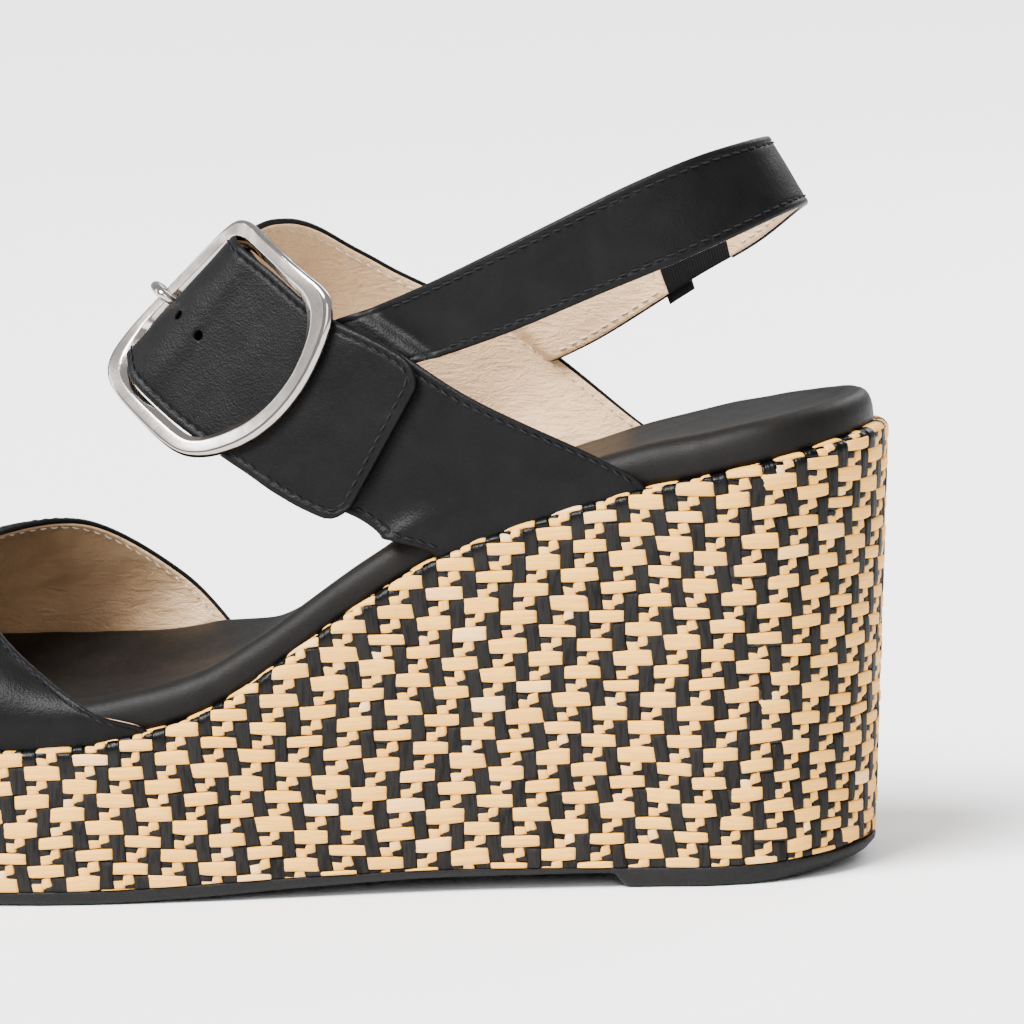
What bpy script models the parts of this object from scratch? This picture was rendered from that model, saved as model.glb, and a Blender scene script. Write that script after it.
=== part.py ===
# Wedge sandal, left shoe: platform wedge with a woven wrap, a peep-toe vamp,
# a buckled instep band and a slingback with an elastic insert.
# Metres, +Z up, toe towards -X, heel towards +X, outer (lateral) side towards -Y.
import bpy
import bmesh
import math
import numpy as np
from mathutils import Vector, Matrix, Euler

for ob in list(bpy.data.objects):
    bpy.data.objects.remove(ob, do_unlink=True)

# ---------------------------------------------------------------- dimensions (mm)
MM = 0.001
SHIFT_X = 42.6              # puts the middle of the length on X = 0
SHIFT_Y = 0.7
TAPER = 0.045               # the wedge walls lean in towards the floor
TAPER_HEEL = 0.028          # extra lean at the back of the heel
WRAP_T = 1.2                # woven wrap thickness
GAP = 0.3                   # clearance between touching pieces
CORE_IN = WRAP_T + 0.5      # inset of the core from the outline
LINING_T = 0.5              # lining leather
OUTER_T = 0.8               # outer leather
LAYER = LINING_T + GAP      # where the outer leather starts over the lining
STACK = LAYER + OUTER_T     # both layers
TUCK = 6.0                  # how far straps run down behind the wrap
STRAP_IN = CORE_IN + STACK  # inset of the strap's inner face at the rim
COVER_IN_SIDE = STRAP_IN + 0.4
COVER_IN_HEEL = 2.6
BOARD_T = 1.6
FOOTBED_H = 8.4             # rim of the wedge to the crest of the footbed
COVER_T = 1.0
LEAN = math.radians(43.4)   # the instep band leans forward
BAND_TOP = 126.0            # crest of the band along its own height axis
BAND_A = 30.0               # half width of the band's arch
BAND_B = 69.0               # half height of the arch
BAR_R = 0.8                 # buckle bar
FRAME_R = 1.45              # buckle frame section
BAR_N = 2.9                 # bar height over the inner face of the band
LEFT_A, RIGHT_A = -8.0, 31.0

# plan outline of the wedge at its top, closed, lateral side first
OUTLINE = [(44.8, -31.5), (30, -31.7), (10, -32.7), (-10, -34.5), (-30, -37.2), (-60, -41.5),
           (-90, -43.6), (-115, -41.2), (-135, -34.4), (-149.5, -23), (-158.3, -8), (-161.5, 6),
           (-159, 19.5), (-150, 30.5), (-135, 37.8), (-112, 41.8), (-88, 40.4), (-62, 34.8),
           (-36, 29.2), (-10, 28.2), (10, 29.4), (30, 31.2), (44.8, 31.5), (60.5, 27.3),
           (72.1, 15.7), (76.3, 0), (72.1, -15.7), (60.5, -27.3)]
# height of the wedge rim along the length
RIM = [(-162, 33.0), (-120, 31.2), (-97, 31.3), (-82, 31.9), (-68, 34.2), (-57, 37.4), (-47.4, 42.6),
       (-34.8, 51.0), (-23.9, 58.3), (-8.6, 66.9), (10, 73.4), (32.7, 79.4), (50.7, 82.6),
       (63.5, 85.0), (77, 88.0)]
SOLE_TOP = [(-162, 7.0), (-130, 4.2), (-98, 2.9), (-80, 3.0), (-52, 3.9), (-40, 4.3), (-9, 4.7),
            (20, 4.2), (40, 4.0), (55, 4.2), (68, 4.9), (77, 6.0)]
SOLE_BOTTOM = [(-162, 4.6), (-130, 1.6), (-98, 0.25), (-83, 0.0), (-62, 0.7), (-40, 1.9), (-9, 2.9),
               (22.5, 2.9), (25.2, 0.25), (28, 0.0), (48, 0.0), (58, 0.7), (66, 1.8), (77, 3.6)]
ROWS_X = [-140, -132, -122, -112, -102, -92, -83, -74, -66, -58, -51, -44, -35, -26, -17, -7, 4,
          14, 22.5, 25.2, 34, 44, 55, 66]
ACROSS = 8

# ---------------------------------------------------------------- helpers
def interp(table, x):
    """Monotone cubic through (x, value) stations."""
    xs = [p[0] for p in table]
    ys = [p[1] for p in table]
    n = len(xs)
    if x <= xs[0]:
        return ys[0]
    if x >= xs[-1]:
        return ys[-1]
    d = [(ys[i + 1] - ys[i]) / (xs[i + 1] - xs[i]) for i in range(n - 1)]

    def slope(i):
        if i == 0:
            return d[0]
        if i == n - 1:
            return d[-1]
        if d[i - 1] * d[i] <= 0:
            return 0.0
        return 2 * d[i - 1] * d[i] / (d[i - 1] + d[i])
    k = max(i for i in range(n - 1) if xs[i] <= x)
    h = xs[k + 1] - xs[k]
    t = (x - xs[k]) / h
    m0, m1 = slope(k), slope(k + 1)
    return ((2 * t ** 3 - 3 * t ** 2 + 1) * ys[k] + (t ** 3 - 2 * t ** 2 + t) * h * m0
            + (-2 * t ** 3 + 3 * t ** 2) * ys[k + 1] + (t ** 3 - t ** 2) * h * m1)


def rim(x):
    return interp(RIM, x)


def sole_top(x):
    return interp(SOLE_TOP, x)


def sole_bottom(x):
    return interp(SOLE_BOTTOM, x)


def smooth(e0, e1, x):
    t = min(1.0, max(0.0, (x - e0) / (e1 - e0)))
    return t * t * (3 - 2 * t)


def spline(pts, per=8, closed=False):
    """Catmull-Rom curve through the points."""
    p = [np.array(q, float) for q in pts]
    n = len(p)
    out = []
    for i in range(n if closed else n - 1):
        if closed:
            a, b, c, d = p[i - 1], p[i], p[(i + 1) % n], p[(i + 2) % n]
        else:
            b, c = p[i], p[i + 1]
            a = p[i - 1] if i > 0 else 2 * b - c
            d = p[i + 2] if i + 2 < n else 2 * c - b
        for k in range(per):
            t = k / per
            out.append(0.5 * (2 * b + (c - a) * t + (2 * a - 5 * b + 4 * c - d) * t ** 2
                              + (3 * b - a - 3 * c + d) * t ** 3))
    if not closed:
        out.append(p[-1])
    return np.array(out)


OUT = spline(OUTLINE, 12, True)
_t = np.roll(OUT, -1, 0) - np.roll(OUT, 1, 0)
_t = _t / np.linalg.norm(_t, axis=1)[:, None]
OUT_N = np.stack([-_t[:, 1], _t[:, 0]], 1)          # one side of the outline
if np.dot(OUT_N[0], np.array([-20.0, 0.0]) - OUT[0]) < 0:
    OUT_N = -OUT_N                                   # make it point inwards


def outline(inset):
    """Outline samples moved inwards; inset may be a number or a function of x."""
    d = np.array([inset(p[0]) if callable(inset) else inset for p in OUT])
    return OUT + OUT_N * d[:, None]


def side_y(x, side, inset=0.0):
    """Y of the outline at station x on side -1 (lateral) or +1 (medial)."""
    q = outline(inset)
    q = q[(q[:, 1] * side > 0)]
    order = np.argsort(q[:, 0])
    return float(np.interp(x, q[order, 0], q[order, 1]))


def taper(x):
    return TAPER + TAPER_HEEL * smooth(38, 70, x)


def resample(q, n):
    s = np.concatenate([[0], np.cumsum(np.linalg.norm(np.diff(q, axis=0), axis=1))])
    u = np.linspace(0, s[-1], n)
    return np.stack([np.interp(u, s, q[:, k]) for k in range(q.shape[1])], 1)


def plan_grid(inset):
    """Grid of (x, y) points filling the outline: straight rows, curved ends."""
    q = outline(inset)
    x0, x1 = ROWS_X[0], ROWS_X[-1]

    def side_pt(x, sg):
        r = q[q[:, 1] * sg > 0]
        o = np.argsort(r[:, 0])
        return np.array([x, np.interp(x, r[o, 0], r[o, 1])])

    def end_pts(xc, toe):
        a, b = side_pt(xc, -1), side_pt(xc, 1)
        r = q[q[:, 0] < xc] if toe else q[q[:, 0] > xc]
        r = r[np.argsort(np.arctan2(r[:, 1], (xc - r[:, 0] if toe else r[:, 0] - xc) + 12.0))]
        return resample(np.vstack([a, r, b]), ACROSS + 1)
    toe, heel = end_pts(x0, True), end_pts(x1, False)
    g = np.zeros((len(ROWS_X), ACROSS + 1, 2))
    for i, x in enumerate(ROWS_X):
        a, b = side_pt(x, -1), side_pt(x, 1)
        bt = max(0.0, 1 - (x - x0) / 46.0) ** 2
        bh = max(0.0, 1 - (x1 - x) / 33.0) ** 2
        for j in range(ACROSS + 1):
            v = j / ACROSS
            p = a * (1 - v) + b * v
            p = p + bt * (toe[j] - (toe[0] * (1 - v) + toe[-1] * v))
            p = p + bh * (heel[j] - (heel[0] * (1 - v) + heel[-1] * v))
            g[i, j] = p
    return g


def to_m(p):
    return Vector(((p[0] + SHIFT_X) * MM, (p[1] + SHIFT_Y) * MM, p[2] * MM))


# ---------------------------------------------------------------- collections, materials
SANDAL = bpy.data.collections.new("wedge_sandal")
CUTTERS = bpy.data.collections.new("cutters")
bpy.context.scene.collection.children.link(SANDAL)
bpy.context.scene.collection.children.link(CUTTERS)


def material(name, rgb, rough, metal=0.0):
    m = bpy.data.materials.new(name)
    m.use_nodes = True
    b = m.node_tree.nodes["Principled BSDF"]
    b.inputs["Base Color"].default_value = (rgb[0], rgb[1], rgb[2], 1)
    b.inputs["Roughness"].default_value = rough
    b.inputs["Metallic"].default_value = metal
    m.diffuse_color = (rgb[0], rgb[1], rgb[2], 1)
    return m


def add(name, mesh, mat, cutter=False):
    ob = bpy.data.objects.new(name, mesh)
    (CUTTERS if cutter else SANDAL).objects.link(ob)
    if cutter:
        ob.hide_render = True
        ob.display_type = "WIRE"
    elif mat:
        mesh.materials.append(mat)
    return ob


def finish_bm(bm, name):
    bmesh.ops.recalc_face_normals(bm, faces=bm.faces)
    me = bpy.data.meshes.new(name)
    bm.to_mesh(me)
    bm.free()
    return me


def solidify(ob, t, offset=1.0):
    m = ob.modifiers.new("thickness", "SOLIDIFY")
    m.thickness = t * MM
    m.offset = offset
    m.use_even_offset = True
    m.use_rim = True
    return m


def apply_all(ob):
    """Replace the mesh with its evaluated result."""
    dg = bpy.context.evaluated_depsgraph_get()
    dg.update()
    me = bpy.data.meshes.new_from_object(ob.evaluated_get(dg))
    ob.modifiers.clear()
    old = ob.data
    ob.data = me
    me.name = ob.name
    if old.users == 0:
        if isinstance(old, bpy.types.Mesh):
            bpy.data.meshes.remove(old)


def boolean(ob, cutter, op="DIFFERENCE"):
    m = ob.modifiers.new("cut", "BOOLEAN")
    m.operation = op
    m.solver = "EXACT"
    m.object = cutter
    return m


def slab(name, levels, mat, open_bottom=False):
    """A solid between plan grids. levels: (inset, z function of x, y), bottom first."""
    nx, ny = len(ROWS_X), ACROSS + 1
    bm = bmesh.new()
    bmesh.ops.create_grid(bm, x_segments=nx - 1, y_segments=ny - 1, size=1.0)
    uv = bm.verts.layers.float_vector.new("uv")
    for v in bm.verts:
        v[uv] = Vector((round((v.co.x + 1) / 2 * (nx - 1)), round((v.co.y + 1) / 2 * (ny - 1)), 0))
    grids = [(plan_grid(i), z) for i, z in levels]

    def place(verts, lev):
        g, z = grids[lev]
        for v in verts:
            x, y = g[int(round(v[uv].x)), int(round(v[uv].y))]
            v.co = to_m((x, y, z(x, y)))
    place(bm.verts, 0)
    region = list(bm.faces)
    first = list(bm.faces)
    for lev in range(1, len(levels)):
        r = bmesh.ops.extrude_face_region(bm, geom=region)
        nv = [g for g in r["geom"] if isinstance(g, bmesh.types.BMVert)]
        nf = [g for g in r["geom"] if isinstance(g, bmesh.types.BMFace)]
        place(nv, lev)
        if lev > 1:
            bmesh.ops.delete(bm, geom=[f for f in region if f.is_valid], context="FACES_KEEP_BOUNDARY")
        region = nf
    if open_bottom:
        bmesh.ops.delete(bm, geom=[f for f in first if f.is_valid], context="FACES_KEEP_BOUNDARY")
    loose = [v for v in bm.verts if not v.link_faces]
    bmesh.ops.delete(bm, geom=loose, context="VERTS")
    ob = add(name, finish_bm(bm, name), mat)
    return ob


def sheet(name, pts, offset, thick, mat, cutter=False):
    """A leather layer: rows of points, lifted along the surface and given thickness."""
    pts = np.array(pts, float)
    ns, nt = pts.shape[:2]
    nrm = grid_normals(pts)
    p = pts + nrm * (offset[..., None] if isinstance(offset, np.ndarray) else offset)
    bm = bmesh.new()
    bmesh.ops.create_grid(bm, x_segments=ns - 1, y_segments=nt - 1, size=1.0)
    for v in bm.verts:
        i = int(round((v.co.x + 1) / 2 * (ns - 1)))
        j = int(round((v.co.y + 1) / 2 * (nt - 1)))
        v.co = to_m(p[i, j])
    bm.normal_update()
    bm.faces.ensure_lookup_table()
    f = bm.faces[len(bm.faces) // 2]
    c = f.calc_center_median()
    q = np.array([c.x / MM - SHIFT_X, c.y / MM - SHIFT_Y, c.z / MM])
    k = np.argmin(np.linalg.norm((p - q).reshape(-1, 3), axis=1))
    if np.dot(np.array(f.normal), nrm.reshape(-1, 3)[k]) < 0:
        bmesh.ops.reverse_faces(bm, faces=bm.faces)
    me = bpy.data.meshes.new(name)
    bm.to_mesh(me)
    bm.free()
    ob = add(name, me, mat, cutter)
    m = solidify(ob, thick, 1.0)
    m.use_even_offset = False
    return ob


def grid_normals(pts):
    du = np.gradient(pts, axis=0)
    dv = np.gradient(pts, axis=1)
    n = np.cross(du, dv)
    n /= np.linalg.norm(n, axis=2)[..., None]
    i, j = n.shape[0] // 2, n.shape[1] // 2
    if np.dot(n[i, j], pts[i, j] - np.array([pts[i, j][0] + 15.0, 0.0, 35.0])) < 0:
        n = -n                       # outwards, away from the foot
    return n


def loft(rows, per, nt):
    """rows: list of functions t -> point; splined through in order."""
    cols = []
    for j in range(nt):
        t = j / (nt - 1)
        cols.append(spline([r(t) for r in rows], per))
    return np.stack(cols, 1)


def rim_row(xf, xr, side, dz, inset=STRAP_IN):
    """A row that follows the wedge outline at a height over the rim."""
    def row(t):
        x = xf + (xr - xf) * t
        i = inset + taper(x) * max(0.0, -dz)
        return np.array([x, side_y(x, side, i), rim(x) + dz])
    return row


def free_row(f, r, bulge=0.0, direction=(0, 0, 1)):
    f, r, d = np.array(f, float), np.array(r, float), np.array(direction, float)
    d = d / np.linalg.norm(d)

    def row(t):
        return f * (1 - t) + r * t + d * bulge * 4 * t * (1 - t)
    return row


# ---------------------------------------------------------------- sole, wedge, footbed
M_RUBBER = material("sole_rubber", (0.02, 0.02, 0.022), 0.7)
M_CORE = material("wedge_foam", (0.30, 0.25, 0.19), 0.8)
M_WOVEN = material("woven_strips", (0.62, 0.45, 0.28), 0.75)
M_BOARD = material("insole_board", (0.35, 0.26, 0.17), 0.9)
M_FOAM = material("footbed_foam", (0.75, 0.68, 0.50), 0.9)
M_COVER = material("footbed_leather", (0.03, 0.027, 0.026), 0.45)
M_LEATHER = material("black_leather", (0.025, 0.025, 0.027), 0.42)
M_LINING = material("beige_lining", (0.62, 0.50, 0.40), 0.6)
M_METAL = material("satin_nickel", (0.72, 0.68, 0.65), 0.3, 1.0)
M_ELASTIC = material("ribbed_elastic", (0.02, 0.02, 0.022), 0.85)


def wall(frac):
    """Inset and height function of the wedge wall at a fraction of its height."""
    def z(x, y):
        b = sole_top(x) + GAP
        return b + (rim(x) - b) * frac
    return z


def wall_inset(extra, zf):
    return lambda x: extra + taper(x) * (rim(x) - zf(x, 0))


def cover_inset(x):
    return COVER_IN_SIDE + (COVER_IN_HEEL - COVER_IN_SIDE) * smooth(34, 44, x)


def dish(x, y):
    """Hollow of the footbed across its width."""
    w = 0.5 * (side_y(max(-150, min(70, x)), 1) - side_y(max(-150, min(70, x)), -1))
    c = 0.5 * (side_y(max(-150, min(70, x)), 1) + side_y(max(-150, min(70, x)), -1))
    return 1.3 * max(0.0, 1 - ((y - c) / max(10.0, w - 6)) ** 2)


SOLE_IN = lambda x: taper(x) * (rim(x) - sole_top(x))
outsole = slab("outsole", [
    (lambda x: SOLE_IN(x) + 1.2 + 1.2 * smooth(50, 72, x), lambda x, y: sole_bottom(x)),
    (lambda x: SOLE_IN(x) + 0.1 + 0.5 * smooth(50, 72, x), lambda x, y: sole_bottom(x) + 0.9),
    (lambda x: SOLE_IN(x) - 0.1, lambda x, y: sole_top(x)),
], M_RUBBER)

core_bottom = lambda x, y: sole_top(x) + GAP
core_mid = lambda x, y: 0.5 * (sole_top(x) + rim(x))
core_top = lambda x, y: rim(x) - GAP
wedge_core = slab("wedge_core", [
    (wall_inset(CORE_IN, core_bottom), core_bottom),
    (wall_inset(CORE_IN, core_top), core_top),
], M_CORE)

board_bottom = lambda x, y: rim(x)
insole_board = slab("insole_board", [
    (lambda x: cover_inset(x) + COVER_T + GAP, board_bottom),
    (lambda x: cover_inset(x) + COVER_T + GAP, lambda x, y: rim(x) + BOARD_T),
], M_BOARD)

COVER_LEVELS = [(0.0, 0.0), (-0.05, 3.2), (0.5, 6.2), (2.4, 8.0), (5.6, FOOTBED_H)]


def cover_level(k, inset_more=0.0, drop=0.0):
    di, dz = COVER_LEVELS[k]
    last = k == len(COVER_LEVELS) - 1

    def zf(x, y):
        return rim(x) + dz - drop - (dish(x, y) if last else 0.0)
    return (lambda x: cover_inset(x) + di + inset_more, zf)


footbed_foam = slab("footbed_foam", [
    (lambda x: cover_inset(x) + COVER_T + GAP, lambda x, y: rim(x) + BOARD_T + GAP),
    (lambda x: cover_inset(x) + COVER_T + GAP, lambda x, y: rim(x) + 3.4),
    cover_level(2, COVER_T + GAP + 0.35, 0.7),
    cover_level(3, COVER_T + GAP, COVER_T + GAP + 0.25),
    cover_level(4, COVER_T + GAP, COVER_T + GAP + 0.4),
], M_FOAM)

footbed_cover = slab("footbed_cover", [cover_level(k) for k in range(5)], M_COVER, open_bottom=True)
solidify(footbed_cover, COVER_T, -1.0).use_even_offset = False
apply_all(footbed_cover)

# woven wrap: an open tube on the outline, thickened inwards
SEG, HIGH = 80, 5
bm = bmesh.new()
bmesh.ops.create_cone(bm, cap_ends=False, segments=SEG, radius1=1, radius2=1, depth=2)
vert_edges = [e for e in bm.edges if abs(e.verts[0].co.z - e.verts[1].co.z) > 1]
bmesh.ops.subdivide_edges(bm, edges=vert_edges, cuts=HIGH - 1, use_grid_fill=True)
ring_at = []
for k in range(HIGH + 1):
    zf = wall(k / HIGH)
    q = outline(wall_inset(0.0, zf))
    q = resample(np.vstack([q, q[:1]]), SEG + 1)[:SEG]
    ring_at.append((q, zf))
for v in bm.verts:
    k = int(round((v.co.z + 1) / 2 * HIGH))
    ang = (math.atan2(v.co.y, v.co.x) / (2 * math.pi)) % 1.0
    i = int(round(ang * SEG)) % SEG
    q, zf = ring_at[k]
    v.co = to_m((q[i, 0], q[i, 1], zf(q[i, 0], 0)))
woven_wrap = add("woven_wrap", finish_bm(bm, "woven_wrap"), M_WOVEN)
bm = bmesh.new()
bm.from_mesh(woven_wrap.data)
bm.normal_update()
f0 = max(bm.faces, key=lambda f: f.calc_center_median().x)
if f0.normal.x < 0:
    bmesh.ops.reverse_faces(bm, faces=bm.faces)
bm.to_mesh(woven_wrap.data)
bm.free()
solidify(woven_wrap, WRAP_T, -1.0).use_even_offset = False
apply_all(woven_wrap)

# ---------------------------------------------------------------- vamp
up = (0, 0, 1)
VAMP_F, VAMP_R = (-128, -131), (-67.5, -61)       # lateral, medial stations at the sole
vamp_rows = [
    rim_row(VAMP_F[0], VAMP_R[0], -1, -TUCK),
    rim_row(VAMP_F[0], VAMP_R[0], -1, 0.8),
    rim_row(VAMP_F[0] - 2, VAMP_R[0] - 11.5, -1, 6.8, STRAP_IN - 0.4),
    free_row((-134, -30.0, 46.5), (-91.0, -33.0, 45.0), 5.0, (0, -1, 0.35)),
    free_row((-140, -20, 53), (-101.5, -24.5, 53.0), 3.5, (0, -0.6, 0.8)),
    free_row((-145.5, -6, 57), (-110.5, -9, 63.0), 2.0, up),
    free_row((-146.5, 8, 57.5), (-109.0, 7.5, 66.6), 1.5, up),
    free_row((-144, 20, 54.5), (-93.5, 24.0, 66.4), 2.0, (0, 0.5, 0.8)),
    free_row((-138, 30.5, 46), (-76.5, 32.8, 54.2), 4.5, (0, 1, 0.4)),
    rim_row(VAMP_F[1] - 2, VAMP_R[1] - 4.5, 1, 7.6, STRAP_IN - 0.4),
    rim_row(VAMP_F[1], VAMP_R[1], 1, 0.8),
    rim_row(VAMP_F[1], VAMP_R[1], 1, -TUCK),
]
VAMP = loft(vamp_rows, 3, 9)
vamp_lining = sheet("vamp_lining", VAMP, 0.0, LINING_T, M_LINING)
vamp_outer = sheet("vamp_outer", VAMP, LAYER, OUTER_T, M_LEATHER)

# ---------------------------------------------------------------- instep band
C_AX = np.array([math.cos(LEAN), 0, math.sin(LEAN)])      # across the band, up and back
N_AX = np.array([-math.sin(LEAN), 0, math.cos(LEAN)])     # out of the instep


def arch(c, n, side, y0=1.0, half=BAND_A):
    r = max(0.0, min(1.0, (n - (BAND_TOP - BAND_B)) / BAND_B))
    y = y0 + side * half * math.sqrt(max(0.0, 1 - r * r))
    p = C_AX * c + N_AX * n
    return (p[0], y, p[2])


def band_row(cf, nf, cr, nr, side, half=BAND_A):
    return free_row(arch(cf, nf, side, half=half), arch(cr, nr, side, half=half))


LAT_X, MED_X = (-8.0, 33.0), (-5.0, 30.0)                 # front, rear stations at the sole
band_rows = [
    rim_row(LAT_X[0], LAT_X[1], -1, -TUCK),
    rim_row(LAT_X[0], LAT_X[1], -1, 0.8),
    rim_row(LAT_X[0] - 6.5, LAT_X[1] - 8, -1, 8.0, STRAP_IN - 0.5),
    band_row(36.0, 67.5, 67.5, 71.0, -1, 31.5),
    band_row(29.5, 80.0, 62.0, 90.5, -1, 30.5),
    band_row(22.5, 98.0, 55.4, 105.6, -1),
    band_row(19.8, 112.0, 52.8, 116.6, -1),
    band_row(18.4, 122.5, 51.0, 123.5, -1),
    band_row(18.6, 126.0, 51.2, 126.0, 1),
    band_row(20.8, 120.5, 54.4, 122.0, 1, 29),
    band_row(25.5, 107.0, 60.0, 113.5, 1, 29),
    band_row(31.0, 89.0, 64.8, 99.0, 1, 29),
    band_row(39.0, 67.0, 70.5, 74.0, 1, 29),
    rim_row(MED_X[0] - 6, MED_X[1] - 8, 1, 8.0, STRAP_IN - 0.5),
    rim_row(MED_X[0], MED_X[1], 1, 0.8),
    rim_row(MED_X[0], MED_X[1], 1, -TUCK),
]
BAND = loft(band_rows, 8, 5)
mid = BAND[:, 2]
arc = np.concatenate([[0], np.cumsum(np.linalg.norm(np.diff(mid, axis=0), axis=1))])
crest = int(np.argmax(mid @ N_AX))
ARC0 = arc[crest] - 8.5          # arc position of the buckle bar, lateral of the crest
# a runs from the bar towards the lateral side


def band_at(a, t):
    s = ARC0 - a
    k = np.array([np.interp(s, arc, BAND[:, j, m]) for j in range(5) for m in range(3)]).reshape(5, 3)
    u = t * 4
    j = int(min(3, max(0, math.floor(u))))
    return k[j] * (1 - (u - j)) + k[j + 1] * (u - j)


def band_frame(a):
    """Middle point, across direction (towards the rear edge) and outward normal at a."""
    p = band_at(a, 0.5)
    c = band_at(a, 1.0) - band_at(a, 0.0)
    c /= np.linalg.norm(c)
    d = band_at(a + 0.8, 0.5) - band_at(a - 0.8, 0.5)
    n = np.cross(d, c)
    n /= np.linalg.norm(n)
    return p, c, n


A_MAX = ARC0                      # lateral tuck end
A_MIN = ARC0 - arc[-1]            # medial tuck end
RISE = [(-40, 0.0), (-20, 0.2), (-9, 1.3), (-6.4, 1.9), (-3.5, 4.3), (-1, 5.4), (3, 5.5), (6, 4.9), (10, 3.4),
        (14, 2.5), (18, 2.1), (60, 2.0)]
A_LONG_END = RIGHT_A + 4.0        # the long strap ends just past the right bar
A_TIP = RIGHT_A + 22.5            # free end of the strap


def strip(a_list, t0=0.0, t1=1.0, nt=5, rise=None):
    out = []
    for a in a_list:
        lift = interp(rise, a) if rise else 0.0
        p, c, n = band_frame(a)
        out.append([band_at(a, t0 + (t1 - t0) * j / (nt - 1)) + n * lift for j in range(nt)])
    return np.array(out)


# base strap: lateral sole to the bar, folded round it
A_BASE = [A_MAX + (18 - A_MAX) * k / 14 for k in range(15)]
base_lining = strip(A_BASE + [14, 10, 6.5, 2.6])
base_strap_lining = sheet("base_strap_lining", base_lining, 0.0, LINING_T, M_LINING)
FOLD_R = BAR_R + 0.5
FOLD_T = OUTER_T
upper = [(a, LAYER) for a in A_BASE] + \
    [(14, 1.1), (12, 1.5), (10, 2.05), (8, 2.75), (6, 3.5), (3.2, BAR_N + FOLD_R - 0.03), (0.0, BAR_N + FOLD_R)]
arcpts = [(-FOLD_R * math.sin(q), BAR_N + FOLD_R * math.cos(q)) for q in
          [math.radians(v) for v in (30, 60, 90, 120, 150, 180)]]
lower = [(3.0, BAR_N - FOLD_R - 0.0), (6.0, BAR_N - FOLD_R)]
path = upper + arcpts + lower
fold = []
for a, nn in path:
    p, c, n = band_frame(a)
    fold.append([band_at(a, j / 4) + n * nn for j in range(5)])
fold = np.array(fold)
nr_f = np.cross(np.gradient(fold, axis=0), np.gradient(fold, axis=1))
nr_f /= np.linalg.norm(nr_f, axis=2)[..., None]
_, _, n_ref = band_frame(30)
if np.dot(nr_f[8, 2], n_ref) < 0:
    nr_f = -nr_f
bm = bmesh.new()
ns = len(path)
bmesh.ops.create_grid(bm, x_segments=ns - 1, y_segments=4, size=1.0)
for v in bm.verts:
    i = int(round((v.co.x + 1) / 2 * (ns - 1)))
    j = int(round((v.co.y + 1) / 2 * 4))
    v.co = to_m(fold[i, j])
bm.normal_update()
bm.faces.ensure_lookup_table()
f = min(bm.faces, key=lambda g: (g.calc_center_median() - to_m(fold[8, 2])).length)
if Vector(nr_f[8, 2]).dot(f.normal) < 0:
    bmesh.ops.reverse_faces(bm, faces=bm.faces)
me = bpy.data.meshes.new("base_strap_outer")
bm.to_mesh(me)
bm.free()
base_strap_outer = add("base_strap_outer", me, M_LEATHER)
solidify(base_strap_outer, FOLD_T, 1.0).use_even_offset = False

# long strap: medial sole, over the instep, through the buckle
a_long = np.concatenate([np.linspace(A_MIN, -22, 17), [-17, -13, -10.5, -8.5, -6.4, -5, -3.5, -1, 1, 3, 6, 8,
                                                      10, 12, 14, 18, 23, 29, A_LONG_END]])
LONG = strip(a_long, rise=RISE)
long_strap_lining = sheet("long_strap_lining", LONG, 0.0, LINING_T, M_LINING)
long_strap_outer = sheet("long_strap_outer", LONG, LAYER, OUTER_T, M_LEATHER)
# free end, rounded corners
a_tip = np.concatenate([np.linspace(A_LONG_END + GAP, A_TIP - 4, 6), [A_TIP - 2.0, A_TIP - 0.7, A_TIP]])
TIP = []
for a in a_tip:
    k = max(0.0, (a - (A_TIP - 4)) / 4)
    cut = 0.11 * (1 - math.sqrt(max(0.0, 1 - k * k)))
    lift = interp(RISE, a)
    p, c, n = band_frame(a)
    TIP.append([band_at(a, cut + (1 - 2 * cut) * j / 4) + n * lift for j in range(5)])
TIP = np.array(TIP)
strap_tip_lining = sheet("strap_tip_lining", TIP, 0.0, LINING_T, M_LINING)
strap_tip_outer = sheet("strap_tip_outer", TIP, LAYER, OUTER_T, M_LEATHER)

# holes for the prong, and the slot in the fold
HOLES_A = (-3.0, 2.8, 8.4)
PRONG_B = -1.9


def peg(name, a, radius, length, height=0.0):
    p, c, n = band_frame(a)
    me = bpy.data.meshes.new(name)
    bm = bmesh.new()
    bmesh.ops.create_cone(bm, cap_ends=True, segments=12, radius1=radius * MM, radius2=radius * MM,
                          depth=length * MM)
    bm.to_mesh(me)
    bm.free()
    ob = add(name, me, None, cutter=True)
    ob.matrix_world = Matrix.Translation(to_m(p + c * PRONG_B + n * height)) @ Vector(n).to_track_quat("Z", "X").to_matrix().to_4x4()
    return ob


for ob in (long_strap_lining, long_strap_outer):
    apply_all(ob)
for k, a in enumerate(HOLES_A):
    cut = peg("hole_%d" % k, a, 2.1 if k == 0 else 1.1, 14.0, 4.0)
    boolean(long_strap_outer, cut)
    boolean(long_strap_lining, cut)
apply_all(long_strap_outer)
apply_all(long_strap_lining)
apply_all(base_strap_outer)
p, c, n = band_frame(0.0)
d = np.cross(c, n)
slot = bpy.data.objects.new("fold_slot", bpy.data.meshes.new("fold_slot"))
bm = bmesh.new()
bmesh.ops.create_cube(bm, size=1.0)
for v in bm.verts:
    v.co = Vector((v.co.x * 7.0 * MM, v.co.y * 4.2 * MM, v.co.z * 9.0 * MM))
bm.to_mesh(slot.data)
bm.free()
CUTTERS.objects.link(slot)
slot.hide_render = True
slot.display_type = "WIRE"
rot = Matrix((Vector(d), Vector(c), Vector(n))).transposed().to_4x4()
slot.matrix_world = Matrix.Translation(to_m(p + c * PRONG_B + n * BAR_N)) @ rot
boolean(base_strap_outer, slot)
apply_all(base_strap_outer)

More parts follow.
